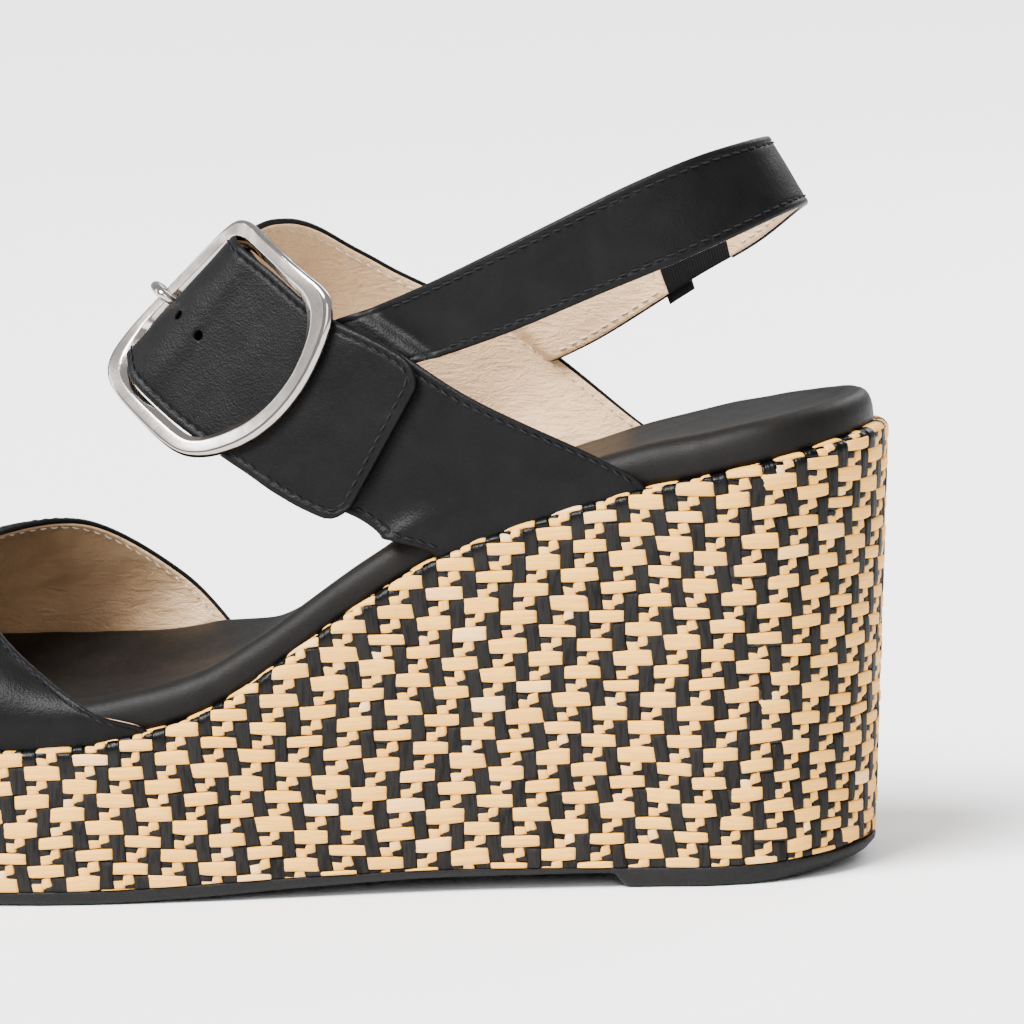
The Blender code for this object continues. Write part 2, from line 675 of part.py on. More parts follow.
# ---------------------------------------------------------------- buckle
def tube(name, pts, radius, mat, cyclic=False, res=2):
    cu = bpy.data.curves.new(name, "CURVE")
    cu.dimensions = "3D"
    cu.bevel_depth = radius * MM
    cu.bevel_resolution = res
    cu.render_resolution_u = 0
    cu.resolution_u = 1
    cu.use_fill_caps = True
    sp = cu.splines.new("POLY")
    sp.points.add(len(pts) - 1)
    for q, pt in zip(sp.points, pts):
        v = to_m(pt)
        q.co = (v.x, v.y, v.z, 1)
    sp.use_cyclic_u = cyclic
    ob = bpy.data.objects.new(name, cu)
    SANDAL.objects.link(ob)
    dg = bpy.context.evaluated_depsgraph_get()
    me = bpy.data.meshes.new_from_object(ob.evaluated_get(dg))
    bpy.data.objects.remove(ob, do_unlink=True)
    bm = bmesh.new()
    bm.from_mesh(me)
    bmesh.ops.remove_doubles(bm, verts=bm.verts, dist=1e-5)
    bmesh.ops.recalc_face_normals(bm, faces=bm.faces)
    bm.to_mesh(me)
    bm.free()
    me.name = name
    me.materials.clear()
    return add(name, me, mat)


FRAME_N = [(-12, 5.9), (-8, 5.8), (0, 4.4), (10, 4.2), (22, 4.9), (30, 5.6), (36, 5.7)]
FRAME_B = 20.6
FRAME_B0 = -1.9             # the buckle sits a little towards the front edge
FRAME_C = 0.5 * (LEFT_A + RIGHT_A)
FRAME_HALF = 0.5 * (RIGHT_A - LEFT_A)


def in_frame(a, b, nn):
    p, c, n = band_frame(a)
    return p + c * b + n * nn


loop = []
N_LOOP = 48
for k in range(N_LOOP):
    q = 2 * math.pi * k / N_LOOP
    cq, sq = math.cos(q), math.sin(q)
    m = 8.0 if cq < 0 else 3.6
    a = FRAME_C + FRAME_HALF * math.copysign(abs(cq) ** (2 / m), cq)
    b = FRAME_B0 + FRAME_B * math.copysign(abs(sq) ** (2 / m), sq)
    loop.append(in_frame(a, b, interp(FRAME_N, a)))
loop = resample(np.vstack([loop, loop[:1]]), N_LOOP + 1)[:-1]
buckle_frame = tube("buckle_frame", loop, FRAME_R, M_METAL, cyclic=True)
B_LO, B_HI = FRAME_B0 - FRAME_B, FRAME_B0 + FRAME_B
bar = tube("buckle_bar", [in_frame(0, B_LO, BAR_N + 0.9), in_frame(0, B_LO + 1.0, BAR_N),
                          in_frame(0, B_HI - 1.0, BAR_N),
                          in_frame(0, B_HI, BAR_N + 0.9)], BAR_R, M_METAL)
boolean(buckle_frame, bar, "UNION")
apply_all(buckle_frame)
SANDAL.objects.unlink(bar)
CUTTERS.objects.link(bar)
bar.hide_render = True
bar.display_type = "WIRE"

# prong: an open eye round the bar and a shank over the left bar
PR = 0.75
EYE = BAR_R + 0.25 + PR
prong_path = [(EYE * math.sin(q), BAR_N + EYE * math.cos(q)) for q in
              [math.radians(v) for v in (70, 100, 130, 160, 190, 220, 250, 280, 305)]]
prong_path += [(-2.6, BAR_N + 2.6), (-3.6, 7.4), (-5.4, 8.5), (-8.0, 8.2), (-9.6, 7.5)]
buckle_prong = tube("buckle_prong", [in_frame(a, FRAME_B0, nn) for a, nn in prong_path], PR, M_METAL)

# ---------------------------------------------------------------- slingback
sling_pts = [
    ((-31, -19.6, 111.7), (-16.8, -23.6, 102.4)),
    ((-23, -22.4, 115), (-8.6, -26.2, 105.4)),
    ((-5.5, -25.6, 122.2), (9, -27.5, 111.4)),
    ((14.5, -27.2, 131.2), (26, -27.2, 118)),
    ((31.5, -24.6, 138.8), (38, -25, 122.4)),
    ((43.5, -18.5, 143.2), (49, -19.5, 126.6)),
    ((51.2, -9.5, 144.8), (58, -10.5, 130.1)),
    ((53.6, 0, 144.6), (61.2, 0, 130.8)),
    ((51.2, 9.5, 143.2), (58, 10.5, 128.6)),
    ((44.5, 18.5, 138.4), (48, 19.0, 121.6)),
    ((30.5, 24, 131), (34.5, 24, 114.2)),
    ((6, 25.5, 117), (15, 26, 102.8)),
    ((-10, 24.2, 109), (1.5, 26.0, 96.5)),
    ((-18, 20.8, 105.2), (-5.8, 23.8, 92.9)),
]


def under_band(p, side):
    """Move a heel strap point to just inside the band."""
    n = float(np.dot(N_AX, p))
    r = min(0.99, max(0.0, (n - (BAND_TOP - BAND_B)) / BAND_B))
    half = BAND_A if side < 0 else 29.0
    y = 1.0 + side * half * math.sqrt(1 - r * r)
    tilt = (half / BAND_B) * r / math.sqrt(1 - r * r)
    return (p[0], y - side * (STACK + GAP + 0.35) * math.sqrt(1 + tilt * tilt), p[2])


for k in (0, 1):
    sling_pts[k] = tuple(under_band(q, -1) for q in sling_pts[k])
for k in (-1, -2):
    sling_pts[k] = tuple(under_band(q, 1) for q in sling_pts[k])
SLING = loft([free_row(u, l) for u, l in sling_pts], 4, 3)
s_arc = np.concatenate([[0], np.cumsum(np.linalg.norm(np.diff(SLING[:, 1], axis=0), axis=1))])


def sling_slice(s0, s1, n):
    u = np.linspace(s0, s1, n)
    g = np.zeros((n, 3, 3))
    for j in range(3):
        for m in range(3):
            g[:, j, m] = np.interp(u, s_arc, SLING[:, j, m])
    return g


S_END = s_arc[-1]
S_LEATHER = float(np.interp(9.44 * 4, np.arange(len(s_arc)), s_arc))    # leather ends on the medial side
S_TAB = float(np.interp(10.28 * 4, np.arange(len(s_arc)), s_arc))         # the tab starts here


def ring_sheet(name, g, offset, thick, mat):
    """Leather layer of the heel loop: offsets point away from the heel."""
    n = np.cross(np.gradient(g, axis=0), np.gradient(g, axis=1))
    n /= np.linalg.norm(n, axis=2)[..., None]
    k = g.shape[0] // 2
    away = g[k, 1] - np.array([10.0, 0.0, g[k, 1][2]])
    if np.dot(n[k, 1], away) < 0:
        n = -n
    p = g + n * offset
    bm = bmesh.new()
    ns, nt = g.shape[:2]
    bmesh.ops.create_grid(bm, x_segments=ns - 1, y_segments=nt - 1, size=1.0)
    for v in bm.verts:
        v.co = to_m(p[int(round((v.co.x + 1) / 2 * (ns - 1))), int(round((v.co.y + 1) / 2 * (nt - 1)))])
    bm.normal_update()
    bm.faces.ensure_lookup_table()
    f = min(bm.faces, key=lambda h: (h.calc_center_median() - to_m(p[k, 1])).length)
    if Vector(n[k, 1]).dot(f.normal) < 0:
        bmesh.ops.reverse_faces(bm, faces=bm.faces)
    me = bpy.data.meshes.new(name)
    bm.to_mesh(me)
    bm.free()
    ob = add(name, me, mat)
    solidify(ob, thick, 1.0).use_even_offset = False
    return ob


leather_g = sling_slice(0, S_LEATHER, 34)
slingback_lining = ring_sheet("slingback_lining", leather_g, 0.0, LINING_T, M_LINING)
slingback_outer = ring_sheet("slingback_outer", leather_g, LAYER, OUTER_T, M_LEATHER)
gore_g = sling_slice(S_LEATHER + GAP, S_TAB - GAP, 6)
elastic_gore = ring_sheet("elastic_gore", gore_g, 0.3, 1.0, M_ELASTIC)
tab_g = sling_slice(S_TAB, S_END, 12)
medial_tab_lining = ring_sheet("medial_tab_lining", tab_g, 0.0, LINING_T, M_LINING)
medial_tab_outer = ring_sheet("medial_tab_outer", tab_g, LAYER, OUTER_T, M_LEATHER)

# ---------------------------------------------------------------- slots in the core behind the wrap
def cutter_box(name, xf, xr, side):
    """Pocket cutter following the rim from below the tuck to above the core."""
    n = 10
    bm = bmesh.new()
    bmesh.ops.create_cube(bm, size=1.0)
    bmesh.ops.subdivide_edges(bm, edges=[e for e in bm.edges
                                         if abs(e.verts[0].co.x - e.verts[1].co.x) > 0.5], cuts=n - 1,
                              use_grid_fill=True)
    for v in bm.verts:
        x = xf - 1.8 + (xr - xf + 3.6) * (v.co.x + 0.5)
        inner = v.co.y * side < 0
        low = v.co.z < 0
        z = rim(x) + (-TUCK - 0.6 if low else 2.5)
        inset = STRAP_IN + GAP + 0.25 + (taper(x) * TUCK if low else 0.0) if inner else -3.0
        v.co = to_m((x, side_y(x, side, inset), z))
    return add(name, finish_bm(bm, name), None, cutter=True)


for nm, xf, xr, sd in (("pocket_vamp_lat", VAMP_F[0], VAMP_R[0], -1), ("pocket_vamp_med", VAMP_F[1], VAMP_R[1], 1),
                       ("pocket_band_lat", LAT_X[0], LAT_X[1], -1), ("pocket_band_med", MED_X[0], MED_X[1], 1)):
    boolean(wedge_core, cutter_box(nm, xf, xr, sd))
apply_all(wedge_core)

# ---------------------------------------------------------------- apply, origins on the joint axes
for ob in list(SANDAL.objects):
    if ob.modifiers:
        apply_all(ob)


def set_origin(ob, point):
    ob.data.transform(Matrix.Translation(-point))
    ob.matrix_world = Matrix.Translation(point)


AX_BAR = to_m(in_frame(0, 0, BAR_N))
AX_TIP = to_m(in_frame(A_LONG_END + 0.15, 0, interp(RISE, A_LONG_END) + STACK))
SLING_LAT = np.array([-21.0, -22.5, 108.0])
SLING_MED = np.array([-10.0, 23.0, 100.0])
AX_SLING = to_m(0.5 * (SLING_LAT + SLING_MED))
for nm in ("buckle_frame", "buckle_prong"):
    set_origin(bpy.data.objects[nm], AX_BAR)
for nm in ("strap_tip_outer", "strap_tip_lining"):
    set_origin(bpy.data.objects[nm], AX_TIP)
for nm in ("slingback_outer", "slingback_lining", "elastic_gore", "medial_tab_outer", "medial_tab_lining"):
    set_origin(bpy.data.objects[nm], AX_SLING)

for ob in SANDAL.objects:
    for poly in ob.data.polygons:
        poly.use_smooth = False

_, c_bar, _ = band_frame(0.0)
_, c_tip, _ = band_frame(A_LONG_END)
d_sl = (SLING_MED - SLING_LAT) / np.linalg.norm(SLING_MED - SLING_LAT)
print("AXES bar", [round(v, 6) for v in AX_BAR], [round(float(v), 5) for v in c_bar])
print("AXES tip", [round(v, 6) for v in AX_TIP], [round(float(v), 5) for v in c_tip])
print("AXES sling", [round(v, 6) for v in AX_SLING], [round(float(v), 5) for v in d_sl])
print("A_MAX", A_MAX, "A_MIN", A_MIN)
for ob in SANDAL.objects:
    print("PIECE", ob.name, len(ob.data.polygons), [round(v * 1000, 1) for v in ob.matrix_world.translation])
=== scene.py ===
# Looks of the wedge sandal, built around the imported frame.
# Lengths in the helpers are millimetres in the shoe's own frame; to_m turns them into row metres.
import math
import bpy
import bmesh
import numpy as np
from mathutils import Vector, Matrix, Quaternion


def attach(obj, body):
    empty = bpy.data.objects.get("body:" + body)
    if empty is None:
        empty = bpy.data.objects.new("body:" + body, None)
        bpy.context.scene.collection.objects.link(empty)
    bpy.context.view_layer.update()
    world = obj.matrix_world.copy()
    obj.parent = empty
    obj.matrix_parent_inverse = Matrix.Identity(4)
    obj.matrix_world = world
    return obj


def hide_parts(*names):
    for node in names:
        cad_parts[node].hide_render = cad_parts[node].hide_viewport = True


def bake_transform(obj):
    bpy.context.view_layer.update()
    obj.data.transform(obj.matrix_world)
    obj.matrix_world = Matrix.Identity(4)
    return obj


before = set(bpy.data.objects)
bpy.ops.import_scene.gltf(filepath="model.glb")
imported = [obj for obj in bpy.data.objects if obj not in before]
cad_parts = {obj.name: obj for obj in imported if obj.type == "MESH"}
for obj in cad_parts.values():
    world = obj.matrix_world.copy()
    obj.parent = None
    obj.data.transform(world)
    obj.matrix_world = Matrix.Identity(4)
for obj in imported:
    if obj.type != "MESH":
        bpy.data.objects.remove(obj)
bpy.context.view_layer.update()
RNG = np.random.RandomState(11)

# ---------------------------------------------------------------- shared shape rules
MM = 0.001
SHIFT_X = 42.6              # puts the middle of the length on X = 0
SHIFT_Y = 0.7
TAPER = 0.045               # the wedge walls lean in towards the floor
TAPER_HEEL = 0.028          # extra lean at the back of the heel
WRAP_T = 1.2                # woven wrap thickness
GAP = 0.3                   # clearance between touching pieces
CORE_IN = WRAP_T + 0.5      # inset of the core from the outline
LINING_T = 0.5              # lining leather
OUTER_T = 0.8               # outer leather
LAYER = LINING_T + GAP      # where the outer leather starts over the lining
STACK = LAYER + OUTER_T     # both layers
TUCK = 6.0                  # how far straps run down behind the wrap
STRAP_IN = CORE_IN + STACK  # inset of the strap's inner face at the rim
COVER_IN_SIDE = STRAP_IN + 0.4
COVER_IN_HEEL = 2.6
BOARD_T = 1.6
FOOTBED_H = 8.4             # rim of the wedge to the crest of the footbed
COVER_T = 1.0
LEAN = math.radians(43.4)   # the instep band leans forward
BAND_TOP = 126.0            # crest of the band along its own height axis
BAND_A = 30.0               # half width of the band's arch
BAND_B = 69.0               # half height of the arch
BAR_R = 0.8                 # buckle bar
FRAME_R = 1.45              # buckle frame section
BAR_N = 2.9                 # bar height over the inner face of the band
LEFT_A, RIGHT_A = -8.0, 31.0

# plan outline of the wedge at its top, closed, lateral side first
OUTLINE = [(44.8, -31.5), (30, -31.7), (10, -32.7), (-10, -34.5), (-30, -37.2), (-60, -41.5),
           (-90, -43.6), (-115, -41.2), (-135, -34.4), (-149.5, -23), (-158.3, -8), (-161.5, 6),
           (-159, 19.5), (-150, 30.5), (-135, 37.8), (-112, 41.8), (-88, 40.4), (-62, 34.8),
           (-36, 29.2), (-10, 28.2), (10, 29.4), (30, 31.2), (44.8, 31.5), (60.5, 27.3),
           (72.1, 15.7), (76.3, 0), (72.1, -15.7), (60.5, -27.3)]
# height of the wedge rim along the length
RIM = [(-162, 33.0), (-120, 31.2), (-97, 31.3), (-82, 31.9), (-68, 34.2), (-57, 37.4), (-47.4, 42.6),
       (-34.8, 51.0), (-23.9, 58.3), (-8.6, 66.9), (10, 73.4), (32.7, 79.4), (50.7, 82.6),
       (63.5, 85.0), (77, 88.0)]
SOLE_TOP = [(-162, 7.0), (-130, 4.2), (-98, 2.9), (-80, 3.0), (-52, 3.9), (-40, 4.3), (-9, 4.7),
            (20, 4.2), (40, 4.0), (55, 4.2), (68, 4.9), (77, 6.0)]
SOLE_BOTTOM = [(-162, 4.6), (-130, 1.6), (-98, 0.25), (-83, 0.0), (-62, 0.7), (-40, 1.9), (-9, 2.9),
               (22.5, 2.9), (25.2, 0.25), (28, 0.0), (48, 0.0), (58, 0.7), (66, 1.8), (77, 3.6)]
ROWS_X = [-140, -132, -122, -112, -102, -92, -83, -74, -66, -58, -51, -44, -35, -26, -17, -7, 4,
          14, 22.5, 25.2, 34, 44, 55, 66]
ACROSS = 8
def interp(table, x):
    """Monotone cubic through (x, value) stations."""
    xs = [p[0] for p in table]
    ys = [p[1] for p in table]
    n = len(xs)
    if x <= xs[0]:
        return ys[0]
    if x >= xs[-1]:
        return ys[-1]
    d = [(ys[i + 1] - ys[i]) / (xs[i + 1] - xs[i]) for i in range(n - 1)]

    def slope(i):
        if i == 0:
            return d[0]
        if i == n - 1:
            return d[-1]
        if d[i - 1] * d[i] <= 0:
            return 0.0
        return 2 * d[i - 1] * d[i] / (d[i - 1] + d[i])
    k = max(i for i in range(n - 1) if xs[i] <= x)
    h = xs[k + 1] - xs[k]
    t = (x - xs[k]) / h
    m0, m1 = slope(k), slope(k + 1)
    return ((2 * t ** 3 - 3 * t ** 2 + 1) * ys[k] + (t ** 3 - 2 * t ** 2 + t) * h * m0
            + (-2 * t ** 3 + 3 * t ** 2) * ys[k + 1] + (t ** 3 - t ** 2) * h * m1)


def rim(x):
    return interp(RIM, x)


def sole_top(x):
    return interp(SOLE_TOP, x)


def sole_bottom(x):
    return interp(SOLE_BOTTOM, x)


def smooth(e0, e1, x):
    t = min(1.0, max(0.0, (x - e0) / (e1 - e0)))
    return t * t * (3 - 2 * t)


def spline(pts, per=8, closed=False):
    """Catmull-Rom curve through the points."""
    p = [np.array(q, float) for q in pts]
    n = len(p)
    out = []
    for i in range(n if closed else n - 1):
        if closed:
            a, b, c, d = p[i - 1], p[i], p[(i + 1) % n], p[(i + 2) % n]
        else:
            b, c = p[i], p[i + 1]
            a = p[i - 1] if i > 0 else 2 * b - c
            d = p[i + 2] if i + 2 < n else 2 * c - b
        for k in range(per):
            t = k / per
            out.append(0.5 * (2 * b + (c - a) * t + (2 * a - 5 * b + 4 * c - d) * t ** 2
                              + (3 * b - a - 3 * c + d) * t ** 3))
    if not closed:
        out.append(p[-1])
    return np.array(out)


OUT = spline(OUTLINE, 12, True)
_t = np.roll(OUT, -1, 0) - np.roll(OUT, 1, 0)
_t = _t / np.linalg.norm(_t, axis=1)[:, None]
OUT_N = np.stack([-_t[:, 1], _t[:, 0]], 1)          # one side of the outline
if np.dot(OUT_N[0], np.array([-20.0, 0.0]) - OUT[0]) < 0:
    OUT_N = -OUT_N                                   # make it point inwards


def outline(inset):
    """Outline samples moved inwards; inset may be a number or a function of x."""
    d = np.array([inset(p[0]) if callable(inset) else inset for p in OUT])
    return OUT + OUT_N * d[:, None]


def side_y(x, side, inset=0.0):
    """Y of the outline at station x on side -1 (lateral) or +1 (medial)."""
    q = outline(inset)
    q = q[(q[:, 1] * side > 0)]
    order = np.argsort(q[:, 0])
    return float(np.interp(x, q[order, 0], q[order, 1]))


def taper(x):
    return TAPER + TAPER_HEEL * smooth(38, 70, x)


def resample(q, n):
    s = np.concatenate([[0], np.cumsum(np.linalg.norm(np.diff(q, axis=0), axis=1))])
    u = np.linspace(0, s[-1], n)
    return np.stack([np.interp(u, s, q[:, k]) for k in range(q.shape[1])], 1)
SHIFT = np.array([SHIFT_X, SHIFT_Y, 0.0])


def to_m(p):
    return Vector(((p[0] + SHIFT_X) * MM, (p[1] + SHIFT_Y) * MM, p[2] * MM))


def loft(rows, per, nt):
    cols = []
    for j in range(nt):
        t = j / (nt - 1)
        cols.append(spline([r(t) for r in rows], per))
    return np.stack(cols, 1)


def rim_row(xf, xr, side, dz, inset=STRAP_IN):
    def row(t):
        x = xf + (xr - xf) * t
        i = inset + taper(x) * max(0.0, -dz)
        return np.array([x, side_y(x, side, i), rim(x) + dz])
    return row


def free_row(f, r, bulge=0.0, direction=(0, 0, 1)):
    f, r, d = np.array(f, float), np.array(r, float), np.array(direction, float)
    d = d / np.linalg.norm(d)

    def row(t):
        return f * (1 - t) + r * t + d * bulge * 4 * t * (1 - t)
    return row


XT = np.linspace(-164, 78, 970)
RIM_T = np.array([rim(x) for x in XT])
TOP_T = np.array([sole_top(x) for x in XT])
BOT_T = np.array([sole_bottom(x) for x in XT])
TAP_T = np.array([taper(x) for x in XT])
YS = [(side_y(max(-150, min(70, x)), -1), side_y(max(-150, min(70, x)), 1)) for x in np.linspace(-164, 78, 122)]
LEFT_T = np.interp(XT, np.linspace(-164, 78, 122), [q[0] for q in YS])
RIGHT_T = np.interp(XT, np.linspace(-164, 78, 122), [q[1] for q in YS])


def rim_v(x):
    return np.interp(x, XT, RIM_T)


def top_v(x):
    return np.interp(x, XT, TOP_T)


def bot_v(x):
    return np.interp(x, XT, BOT_T)


def tap_v(x):
    return np.interp(x, XT, TAP_T)


def ripple(p, scale, seed):
    """Smooth wandering value of a point, between -1 and 1."""
    r = np.random.RandomState(seed)
    out = 0.0
    for k in range(5):
        d = r.normal(size=3)
        d = d / np.linalg.norm(d) * (0.6 + 0.35 * k) * 2 * math.pi / scale
        out = out + np.sin(p @ d + r.uniform(0, 6.28)) / (1 + 0.5 * k)
    return out / 2.6


# ---------------------------------------------------------------- mesh making
def build(name, verts, faces, mats, uv=None, smooth=True, attrs=None, mat_index=None):
    me = bpy.data.meshes.new(name)
    v = (np.asarray(verts, float).reshape(-1, 3) + SHIFT) * MM
    me.from_pydata(v.tolist(), [], [list(map(int, f)) for f in faces])
    me.update()
    for m in mats:
        me.materials.append(m)
    if uv is not None:
        layer = me.uv_layers.new(name="mm")
        idx = np.zeros(len(me.loops), np.int32)
        me.loops.foreach_get("vertex_index", idx)
        layer.data.foreach_set("uv", np.asarray(uv, np.float32).reshape(-1, 2)[idx].ravel())
    for key, val in (attrs or {}).items():
        a = me.attributes.new(key, "FLOAT", "POINT")
        a.data.foreach_set("value", np.asarray(val, np.float32).ravel())
    if mat_index is not None:
        me.polygons.foreach_set("material_index", np.asarray(mat_index, np.int32))
    me.polygons.foreach_set("use_smooth", np.full(len(me.polygons), smooth))
    me.update()
    ob = bpy.data.objects.new(name, me)
    bpy.context.scene.collection.objects.link(ob)
    return ob


def quads(ns, nt, base=0, flip=False, wrap_s=False, wrap_t=False):
    i = np.arange(ns if wrap_s else ns - 1)
    j = np.arange(nt if wrap_t else nt - 1)
    I, J = np.meshgrid(i, j, indexing="ij")
    I2, J2 = (I + 1) % ns, (J + 1) % nt
    q = np.stack([I * nt + J, I2 * nt + J, I2 * nt + J2, I * nt + J2], -1).reshape(-1, 4)
    return (q[:, ::-1] if flip else q) + base


EDGE = np.array([0, .05, .16, .32, .56, .9, 1.3, 1.55, 1.8, 2.05, 2.3, 2.75])


def row_pos(W, m, edge=EDGE):
    """Positions across a strap of width W (one row per width), denser near both edges."""
    W = np.atleast_1d(W)[:, None]
    f = np.linspace(0, 1, m + 1)[1:-1][None]
    e = edge[None]
    return np.concatenate([np.repeat(e, len(W), 0), e[:, -1:] + f * (W - 2 * e[:, -1:]), W - e[:, ::-1]], 1)


def s_lines(s0, s1, step, edge=EDGE, fine0=True, fine1=True, extra=()):
    a, b = min(s0, s1), max(s0, s1)
    body = np.arange(a, b, step)
    pts = [a, b] + list(body) + list(extra)
    if fine0:
        pts += list(a + edge)
    if fine1:
        pts += list(b - edge)
    pts = np.unique(np.round(pts, 4))
    pts = pts[(pts >= a) & (pts <= b)]
    keep = [pts[0]]
    for p in pts[1:]:
        if p - keep[-1] > 0.045:
            keep.append(p)
    keep[-1] = b
    return np.array(keep)


class Ribbon:
    """A surface s (mm along) by t (0..1 across) with normals, read by interpolation."""

    def __init__(self, G, s, away):
        self.G, self.s = G, np.asarray(s, float)
        n = np.cross(np.gradient(G, axis=0), np.gradient(G, axis=1))
        n /= np.linalg.norm(n, axis=2)[..., None]
        if np.sum(n * away(G)) < 0:
            n = -n
        if self.s[0] > self.s[-1]:
            self.G, self.s, n = self.G[::-1], self.s[::-1], n[::-1]
        self.N = n
        self.W = np.linalg.norm(np.diff(self.G, axis=1), axis=2).sum(1)

    def width(self, s):
        return np.interp(s, self.s, self.W)

    def at(self, s, t):
        ns, nt = self.G.shape[:2]
        fi = np.clip(np.interp(s, self.s, np.arange(ns)), 0, ns - 1.0001)
        fj = np.clip(t * (nt - 1), 0, nt - 1.0001)
        i, j = fi.astype(int), fj.astype(int)
        u, v = (fi - i)[..., None], (fj - j)[..., None]

        def mix(A):
            return ((A[i, j] * (1 - u) + A[i + 1, j] * u) * (1 - v) + (A[i, j + 1] * (1 - u) + A[i + 1, j + 1] * u) * v)
        n = mix(self.N)
        return mix(self.G), n / np.linalg.norm(n, axis=-1)[..., None]


def shell(name, P, N, D, lo, hi, mats, uv, r=None, extra=None, under=None):
    """A closed layer over a surface: rounded along every border (D is the distance to it)."""
    ns, nt = D.shape
    lo, hi = np.broadcast_to(lo, D.shape), np.broadcast_to(hi, D.shape)
    half = (hi - lo) / 2
    rr = r if r is not None else 0.75
    q = np.clip(D / rr, 0, 1)
    th = half * np.sqrt(np.maximum(0, 1 - (1 - q) ** 2))
    m = (hi + lo) / 2
    e = 0 if extra is None else extra * np.clip(D / rr, 0, 1)
    e2 = 0 if under is None else under * np.clip(D / rr, 0, 1)
    top = P + N * (m + th + e)[..., None]
    bot = P + N * (m - th + e2)[..., None]
    idx_top = np.arange(ns * nt).reshape(ns, nt)
    idx_bot = idx_top.copy()
    inner = np.zeros((ns, nt), bool)
    inner[1:-1, 1:-1] = True
    idx_bot[inner] = ns * nt + np.arange(inner.sum())
    verts = np.concatenate([top.reshape(-1, 3), bot[inner]])
    uvs = np.concatenate([uv.reshape(-1, 2), uv[inner]])

    def qd(I, flip):
        f = np.stack([I[:-1, :-1], I[1:, :-1], I[1:, 1:], I[:-1, 1:]], -1).reshape(-1, 4)
        return f[:, ::-1] if flip else f
    i, j = ns // 2, nt // 2
    cr = np.cross(P[i + 1, j] - P[i, j], P[i, j + 1] - P[i, j])
    flip = np.dot(cr, N[i, j]) < 0
    faces = np.concatenate([qd(idx_top, flip), qd(idx_bot, not flip)])
    return build(name, verts, faces, mats, uv=uvs)


def strap(name, rb, s, lo, hi, mats, m=10, inset=0.0, tip=None, edge=EDGE, r=None, lift=None, groove=0.0, wav=0.0,
          seed=1, open_ends=False, grooves=(True, True), under_wav=0.0, end_groove=False):
    """A leather strap along a ribbon. tip=(end position, corner radius) rounds the corners there."""
    s = np.asarray(s, float)
    W = rb.width(s)
    ins = np.full(len(s), float(inset))
    if tip is not None:
        e = np.clip(np.abs(tip[0] - s), 0, tip[1])
        ins = ins + tip[1] - np.sqrt(np.maximum(0, tip[1] ** 2 - (tip[1] - e) ** 2))
    Wi = W - 2 * ins
    pos = row_pos(Wi, m, edge)
    w = ins[:, None] + pos
    S = np.repeat(s[:, None], pos.shape[1], 1)
    P, N = rb.at(S, w / W[:, None])
    ds = np.minimum(np.abs(S - s[0]), np.abs(S - s[-1]))
    dw = np.minimum(pos, Wi[:, None] - pos)
    D = np.minimum(ds, dw)
    if open_ends:
        D = np.where(ds < 1e-6, 0, np.minimum(dw, np.maximum(ds, 3.0)))
    if lift is not None:
        h = lift(S)
        P = P + N * h[..., None]
    ex = np.zeros(D.shape)
    if groove:
        g = np.zeros(D.shape)
        if grooves[0]:
            g = g + np.exp(-((pos - 1.8) / 0.33) ** 2)
        if grooves[1]:
            g = g + np.exp(-((Wi[:, None] - pos - 1.8) / 0.33) ** 2)
        if end_groove:
            g = np.maximum(g, np.exp(-((ds - 1.8) / 0.33) ** 2))
        ex = ex - groove * np.clip(g, 0, 1)
        ex = ex + 0.07 * np.clip(1 - np.abs(dw - 0.85) / 0.6, 0, 1)
    if wav:
        ex = ex + wav * ripple(P, 16.0, seed) * np.clip(dw / 4, 0, 1)
    un = under_wav * ripple(P, 9.0, seed + 5) * np.clip(dw / 3, 0, 1) if under_wav else None
    uv = np.stack([S, w], -1)
    return shell(name, P, N, D, lo, hi, mats, uv, r=r, extra=ex, under=un)


def stitch_row(pts, nrm, pitch=2.5, length=2.0, rad=0.19, sink=0.05, slant=0.12, phase=0.3):
    """Threads lying along a line: one short arched capsule per stitch."""
    d = np.concatenate([[0], np.cumsum(np.linalg.norm(np.diff(pts, axis=0), axis=1))])
    V, F = [], []
    n = int((d[-1] - phase - length) / pitch) + 1
    prof = np.array([(0, .35, -.28), (.06, .8, -.05), (.25, 1, .12), (.5, 1.05, .16), (.75, 1, .12), (.94, .8, -.05), (1, .35, -.28)])
    sides = 6
    for k in range(max(0, n)):
        s0 = phase + k * pitch
        sl = slant * (1 + 0.3 * math.sin(k * 2.1))
        u = s0 + prof[:, 0] * length * (1 + 0.05 * math.sin(k * 5.3))
        c = np.stack([np.interp(u, d, pts[:, m]) for m in range(3)], 1)
        nn = np.stack([np.interp(u, d, nrm[:, m]) for m in range(3)], 1)
        nn /= np.linalg.norm(nn, axis=1)[:, None]
        t = np.gradient(c, axis=0)
        t /= np.linalg.norm(t, axis=1)[:, None]
        b = np.cross(t, nn)
        c = c + nn * (prof[:, 2:3] * 1.0 + sink) + b * ((prof[:, 0:1] - 0.5) * 2 * sl)
        base = sum(len(x) for x in V)
        ang = np.linspace(0, 2 * math.pi, sides, endpoint=False)
        rr = rad * prof[:, 1]
        ring = (c[:, None] + rr[:, None, None] * (np.cos(ang)[None, :, None] * b[:, None] + np.sin(ang)[None, :, None] * nn[:, None]))
        V.append(ring.reshape(-1, 3))
        F += [tuple(q) for q in quads(len(prof), sides, base, wrap_t=True)]
        F.append(tuple(base + i for i in range(sides)))
        F.append(tuple(base + (len(prof) - 1) * sides + i for i in range(sides))[::-1])
    return V, F


